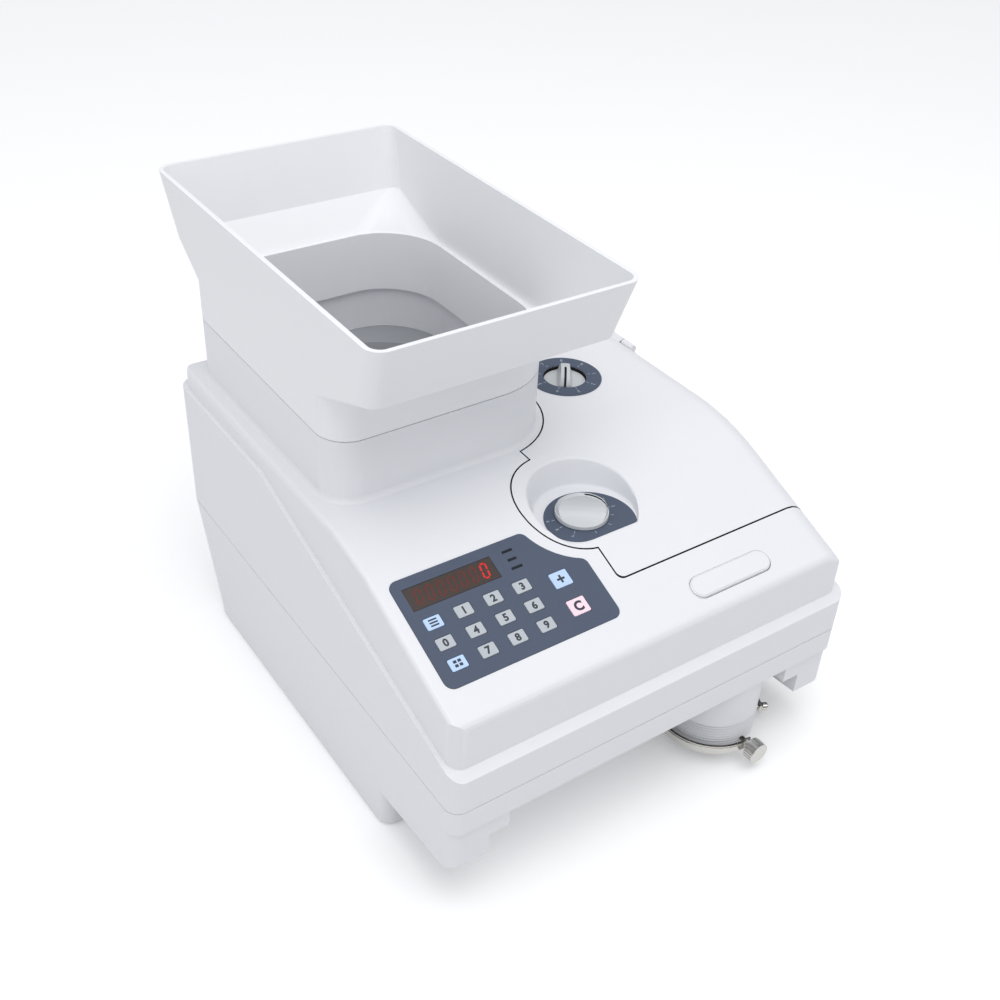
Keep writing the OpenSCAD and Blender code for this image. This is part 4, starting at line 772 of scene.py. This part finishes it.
def on_face(name, out):
    """The middle of a node's outer face in a direction."""
    middle = centre(name)
    reach = max(v.co.dot(out) for v in nodes[name].data.vertices)
    return middle + out * (reach - middle.dot(out))


def facing(place, up, out):
    """A matrix whose X and Y lie in a face and whose Z points out of it."""
    across = up.cross(out).normalized()
    return Matrix.Translation(place) @ Matrix((across, up, out)).transposed().to_4x4()


def add_piece(name, mesh, material, node):
    """A named piece with a given material that rides with a node."""
    mesh.materials.clear()
    mesh.materials.append(material)
    piece = bpy.data.objects.new(name, mesh)
    scene.collection.objects.link(piece)
    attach(piece, body_of_node[node])
    return piece


def place_mark(name, mesh, node, material, offset=(0, 0)):
    """Lays a flat mesh on a node's sloping face, some way across and up from its middle."""
    across = UP_SLOPE.cross(OUT_OF_SLOPE).normalized()
    spot = on_face(node, OUT_OF_SLOPE) + across * offset[0] + UP_SLOPE * offset[1]
    mesh.transform(facing(spot + OUT_OF_SLOPE * INK / 2, UP_SLOPE, OUT_OF_SLOPE))
    return add_piece(name, mesh, material, node)


print("panel slopes", round(math.degrees(SLOPE), 1), "degrees")

# %% [markdown]
# ## Signs and bars
# The ink of a sign is so thin that only its outline and colour show. An image texture could carry it,
# but it needs unwrapping and blurs up close. A text curve turned into a mesh, hardly thicker than ink,
# stays crisp. Plain bars are flattened cubes in one mesh.

# %% Signs and bars
SIZE_PER_HEIGHT = 1.38


def sign_mesh(text, height, bold=0.0):
    """The mesh of a short sign, centred, with its face up Z and its strokes made bolder."""
    curve = bpy.data.curves.new("sign", "FONT")
    curve.body = text
    curve.size = height * SIZE_PER_HEIGHT
    curve.align_x = "CENTER"
    curve.align_y = "CENTER"
    curve.extrude = INK / 2
    curve.offset = bold
    curve.resolution_u = 4
    holder = bpy.data.objects.new("sign", curve)
    scene.collection.objects.link(holder)
    bpy.context.view_layer.update()
    graph = bpy.context.evaluated_depsgraph_get()
    mesh = bpy.data.meshes.new_from_object(holder.evaluated_get(graph))
    bpy.data.objects.remove(holder)
    xs = [v.co.x for v in mesh.vertices]
    ys = [v.co.y for v in mesh.vertices]
    shift = Vector((-(min(xs) + max(xs)) / 2, -(min(ys) + max(ys)) / 2, 0))
    mesh.transform(Matrix.Translation(shift))
    return mesh


def bar_mesh(bars):
    """Flat bars, each given as (x, y, width, height), in one mesh."""
    shape = bmesh.new()
    for x, y, w, h in bars:
        made = bmesh.ops.create_cube(shape, size=1.0)
        size = Matrix.Diagonal((w, h, INK, 1))
        bmesh.ops.transform(shape, matrix=Matrix.Translation((x, y, 0)) @ size, verts=made["verts"])
    mesh = bpy.data.meshes.new("bars")
    shape.to_mesh(mesh)
    shape.free()
    return mesh


print("ink", round(INK / MM, 2), "mm thick")

# %% [markdown]
# ## Marks on the keys
# The number keys carry digits, printed a little bold. The four other keys carry a plus, a C, three
# lines and four blocks, so that each can be told apart at a glance. Digits come from Blender's own
# font; the other signs are bars, because bars are easier to set to size than a symbol font.

# %% Marks on the keys
DIGIT_H, BOLD = 4.0 * MM, 0.22 * MM
CLEAR_H, CLEAR_BOLD = 5.2 * MM, 1.5 * BOLD
PLUS_L, PLUS_W = 4.6 * MM, 1.2 * MM
PLUS_ARM_L, PLUS_ARM_Y = 1.7 * MM, 1.45 * MM
LINE_L, LINE_W, LINE_PITCH = 4.6 * MM, 0.85 * MM, 1.6 * MM
BLOCK_W, BLOCK_H, BLOCK_X, BLOCK_Y = 1.8 * MM, 1.5 * MM, 1.25 * MM, 1.1 * MM

for digit in range(10):
    place_mark(f"mark_{digit}", sign_mesh(str(digit), DIGIT_H, BOLD), f"key_{digit}", INK_DARK)
plus = [(0, 0, PLUS_L, PLUS_W)] + [(0, side * PLUS_ARM_Y, PLUS_W, PLUS_ARM_L) for side in (1, -1)]
place_mark("mark_add", bar_mesh(plus), "key_add", INK_DARK)
place_mark("mark_clear", sign_mesh("C", CLEAR_H, CLEAR_BOLD), "key_clear", INK_DARK)
stacked_lines = [(0, row * LINE_PITCH, LINE_L, LINE_W) for row in (-1, 0, 1)]
place_mark("mark_memory", bar_mesh(stacked_lines), "key_memory", INK_DARK)
four_blocks = [(x * BLOCK_X, y * BLOCK_Y, BLOCK_W, BLOCK_H) for x in (-1, 1) for y in (-1, 1)]
place_mark("mark_batch", bar_mesh(four_blocks), "key_batch", INK_DARK)

# %% [markdown]
# ## Mode bars
# Three short dark bars right of the display tell which way of counting is chosen. They are printed on
# the panel. Their place could be measured from the panel's edge, but they belong to the display, so
# they are set out from its window, one above the other.

# %% Mode bars
MODE_GAP = 10.5 * MM
MODE_W = 1.5 * MM
MODE_ROWS = ((5.6 * MM, 6.2 * MM), (0.4 * MM, 5.2 * MM), (-4.6 * MM, 6.6 * MM))

to_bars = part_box("display_window")[1].x - centre("keypad_panel").x + MODE_GAP
to_window = on_face("display_window", OUT_OF_SLOPE) - on_face("keypad_panel", OUT_OF_SLOPE)
for row, (rise, length) in enumerate(MODE_ROWS):
    bar = bar_mesh([(0, 0, length, MODE_W)])
    place_mark(f"mode_{row}", bar, "keypad_panel", INK_BLACK, (to_bars, to_window.dot(UP_SLOPE) + rise))
print("mode bars", len(MODE_ROWS))

# %% [markdown]
# ## Dial scales
# Each dial has a pale scale printed on its plate: a tick for each setting, and a plain number beside
# the ticks that have room. An array modifier could repeat the ticks, but the numbers all differ, so a
# loop over the settings makes both. The numbers stand with their feet towards the knob.

# %% Dial scales
UP = Vector((0, 0, 1))
TICK_W, TICK_L = 0.32 * MM, 1.9 * MM
THICKNESS_SETTINGS = [(40, 1), (16, 2), (-8, 3), (-32, None), (-62, None), (-100, None),
                      (-140, 7), (168, 9), (192, 8)]
DIAMETER_SETTINGS = [(20 + 40 * step, 9 - step) for step in range(9)]


def scale_mark(name, mesh, plate, knob, angle, reach_mm):
    """Lays a tick or number on a plate, at an angle and a distance from a knob's axis."""
    axis = centre(knob)
    turn = math.radians(angle)
    ray = Vector((math.cos(turn), math.sin(turn), 0))
    spot = Vector((axis.x, axis.y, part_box(plate)[1].z + INK / 2)) + ray * reach_mm * MM
    mesh.transform(facing(spot, ray, UP))
    add_piece(name, mesh, INK_PALE, plate)


def dial_scale(plate, knob, tick_r, number_r, number_h, settings):
    """Ticks and numbers about a knob's axis; a setting is (angle, number or None)."""
    for angle, number in settings:
        end = f"_{angle + 360}"
        scale_mark(plate + "_tick" + end, bar_mesh([(0, 0, TICK_W, TICK_L)]), plate, knob, angle, tick_r)
        if number is not None:
            sign = sign_mesh(str(number), number_h * MM)
            scale_mark(plate + "_number" + end, sign, plate, knob, angle, number_r)


dial_scale("thickness_plate", "thickness_knob", 16.6, 19.6, 2.0, THICKNESS_SETTINGS)
dial_scale("diameter_plate", "diameter_knob", 15.0, 18.6, 2.6, DIAMETER_SETTINGS)

# %% [markdown]
# ## Display digits
# Seven digits sit behind the smoked window. Each shows the six bars of a nought, leaning a little, as
# such displays do. A font could give the noughts, but a display's bars have gaps at the corners. So
# they are set out bar by bar and sheared together. Only the last is lit; the others just show.

# %% Display digits
DIGITS = 7
DIGIT_PITCH = 6.4 * MM
SEGMENT_L, SEGMENT_W = 3.2 * MM, 0.95 * MM
SEGMENT_TRIM = 0.6
SEGMENT_RISE, SEGMENT_STRETCH = 1.25, 1.2
LEAN = math.tan(math.radians(7))
LEVEL_BAR = (SEGMENT_L - 2 * SEGMENT_W * SEGMENT_TRIM, SEGMENT_W)
UPRIGHT_BAR = (SEGMENT_W, (SEGMENT_L - SEGMENT_W * SEGMENT_TRIM) * SEGMENT_STRETCH)
NOUGHT = [(0, 1, LEVEL_BAR), (0.5, 0.5, UPRIGHT_BAR), (0.5, -0.5, UPRIGHT_BAR),
          (0, -1, LEVEL_BAR), (-0.5, -0.5, UPRIGHT_BAR), (-0.5, 0.5, UPRIGHT_BAR)]


def nought_mesh(column):
    """The leaning bars of a nought in a column of the display."""
    middle = (column - (DIGITS - 1) / 2) * DIGIT_PITCH
    mesh = bar_mesh([(middle + x * SEGMENT_L, y * SEGMENT_L * SEGMENT_RISE, *size) for x, y, size in NOUGHT])
    mesh.transform(Matrix(((1, LEAN, 0, 0), (0, 1, 0, 0), (0, 0, 1, 0), (0, 0, 0, 1))))
    return mesh


for column in range(DIGITS):
    state, ink = ("lit", LED_ON) if column == DIGITS - 1 else ("dark", LED_OFF)
    place_mark(f"digit_{column}_{state}", nought_mesh(column), "display_window", ink)
print("digits", DIGITS, "of", len(NOUGHT), "bars")

# %% [markdown]
# ## Button lip
# The start button sits in a slot of the cover. With nothing in it the slot would be a black line, but
# on the real machine it reads as a shallow groove, because the button widens just under the surface.
# The lip could be a bevel of the button, which would also soften its crown. A flat ring round the
# capsule is simpler, and it rides on the button.

# %% Button lip
BUTTON_L, BUTTON_W = 54.0, 12.2
LIP_W, LIP_INSET, LIP_THICK, LIP_DROP = 0.7, 0.1, 0.8, 1.85
END_STEPS = 16


def capsule_outline(length, width):
    """Points of a bar with round ends, anticlockwise."""
    r, half = width / 2, (length - width) / 2
    outline = []
    for x, start in ((half, -90.0), (-half, 90.0)):
        turns = [math.radians(start + 180.0 * k / END_STEPS) for k in range(END_STEPS + 1)]
        outline += [(x + r * math.cos(t), r * math.sin(t)) for t in turns]
    return outline


def lip_mesh():
    """A flat ring round the button's capsule."""
    section = ((-LIP_INSET, 0), (LIP_W, 0), (LIP_W, -LIP_THICK), (-LIP_INSET, -LIP_THICK))
    rings = [(capsule_outline(BUTTON_L + 2 * grow, BUTTON_W + 2 * grow), z) for grow, z in section]
    count = len(rings[0][0])
    points = [(x * MM, y * MM, z * MM) for outline, z in rings for x, y in outline]
    quads = []
    for a, b in ((0, 1), (1, 2), (2, 3), (3, 0)):
        for k in range(count):
            after = (k + 1) % count
            quads.append((a * count + k, b * count + k, b * count + after, a * count + after))
    mesh = bpy.data.meshes.new("lip")
    mesh.from_pydata(points, [], quads)
    return mesh


lip = lip_mesh()
lip_place = on_face("start_button", OUT_OF_SLOPE) - OUT_OF_SLOPE * LIP_DROP * MM
lip.transform(facing(lip_place, UP_SLOPE, OUT_OF_SLOPE))
add_piece("button_lip", lip, FINISH["white_plastic"], "start_button")
print("lip", len(lip.polygons), "faces")
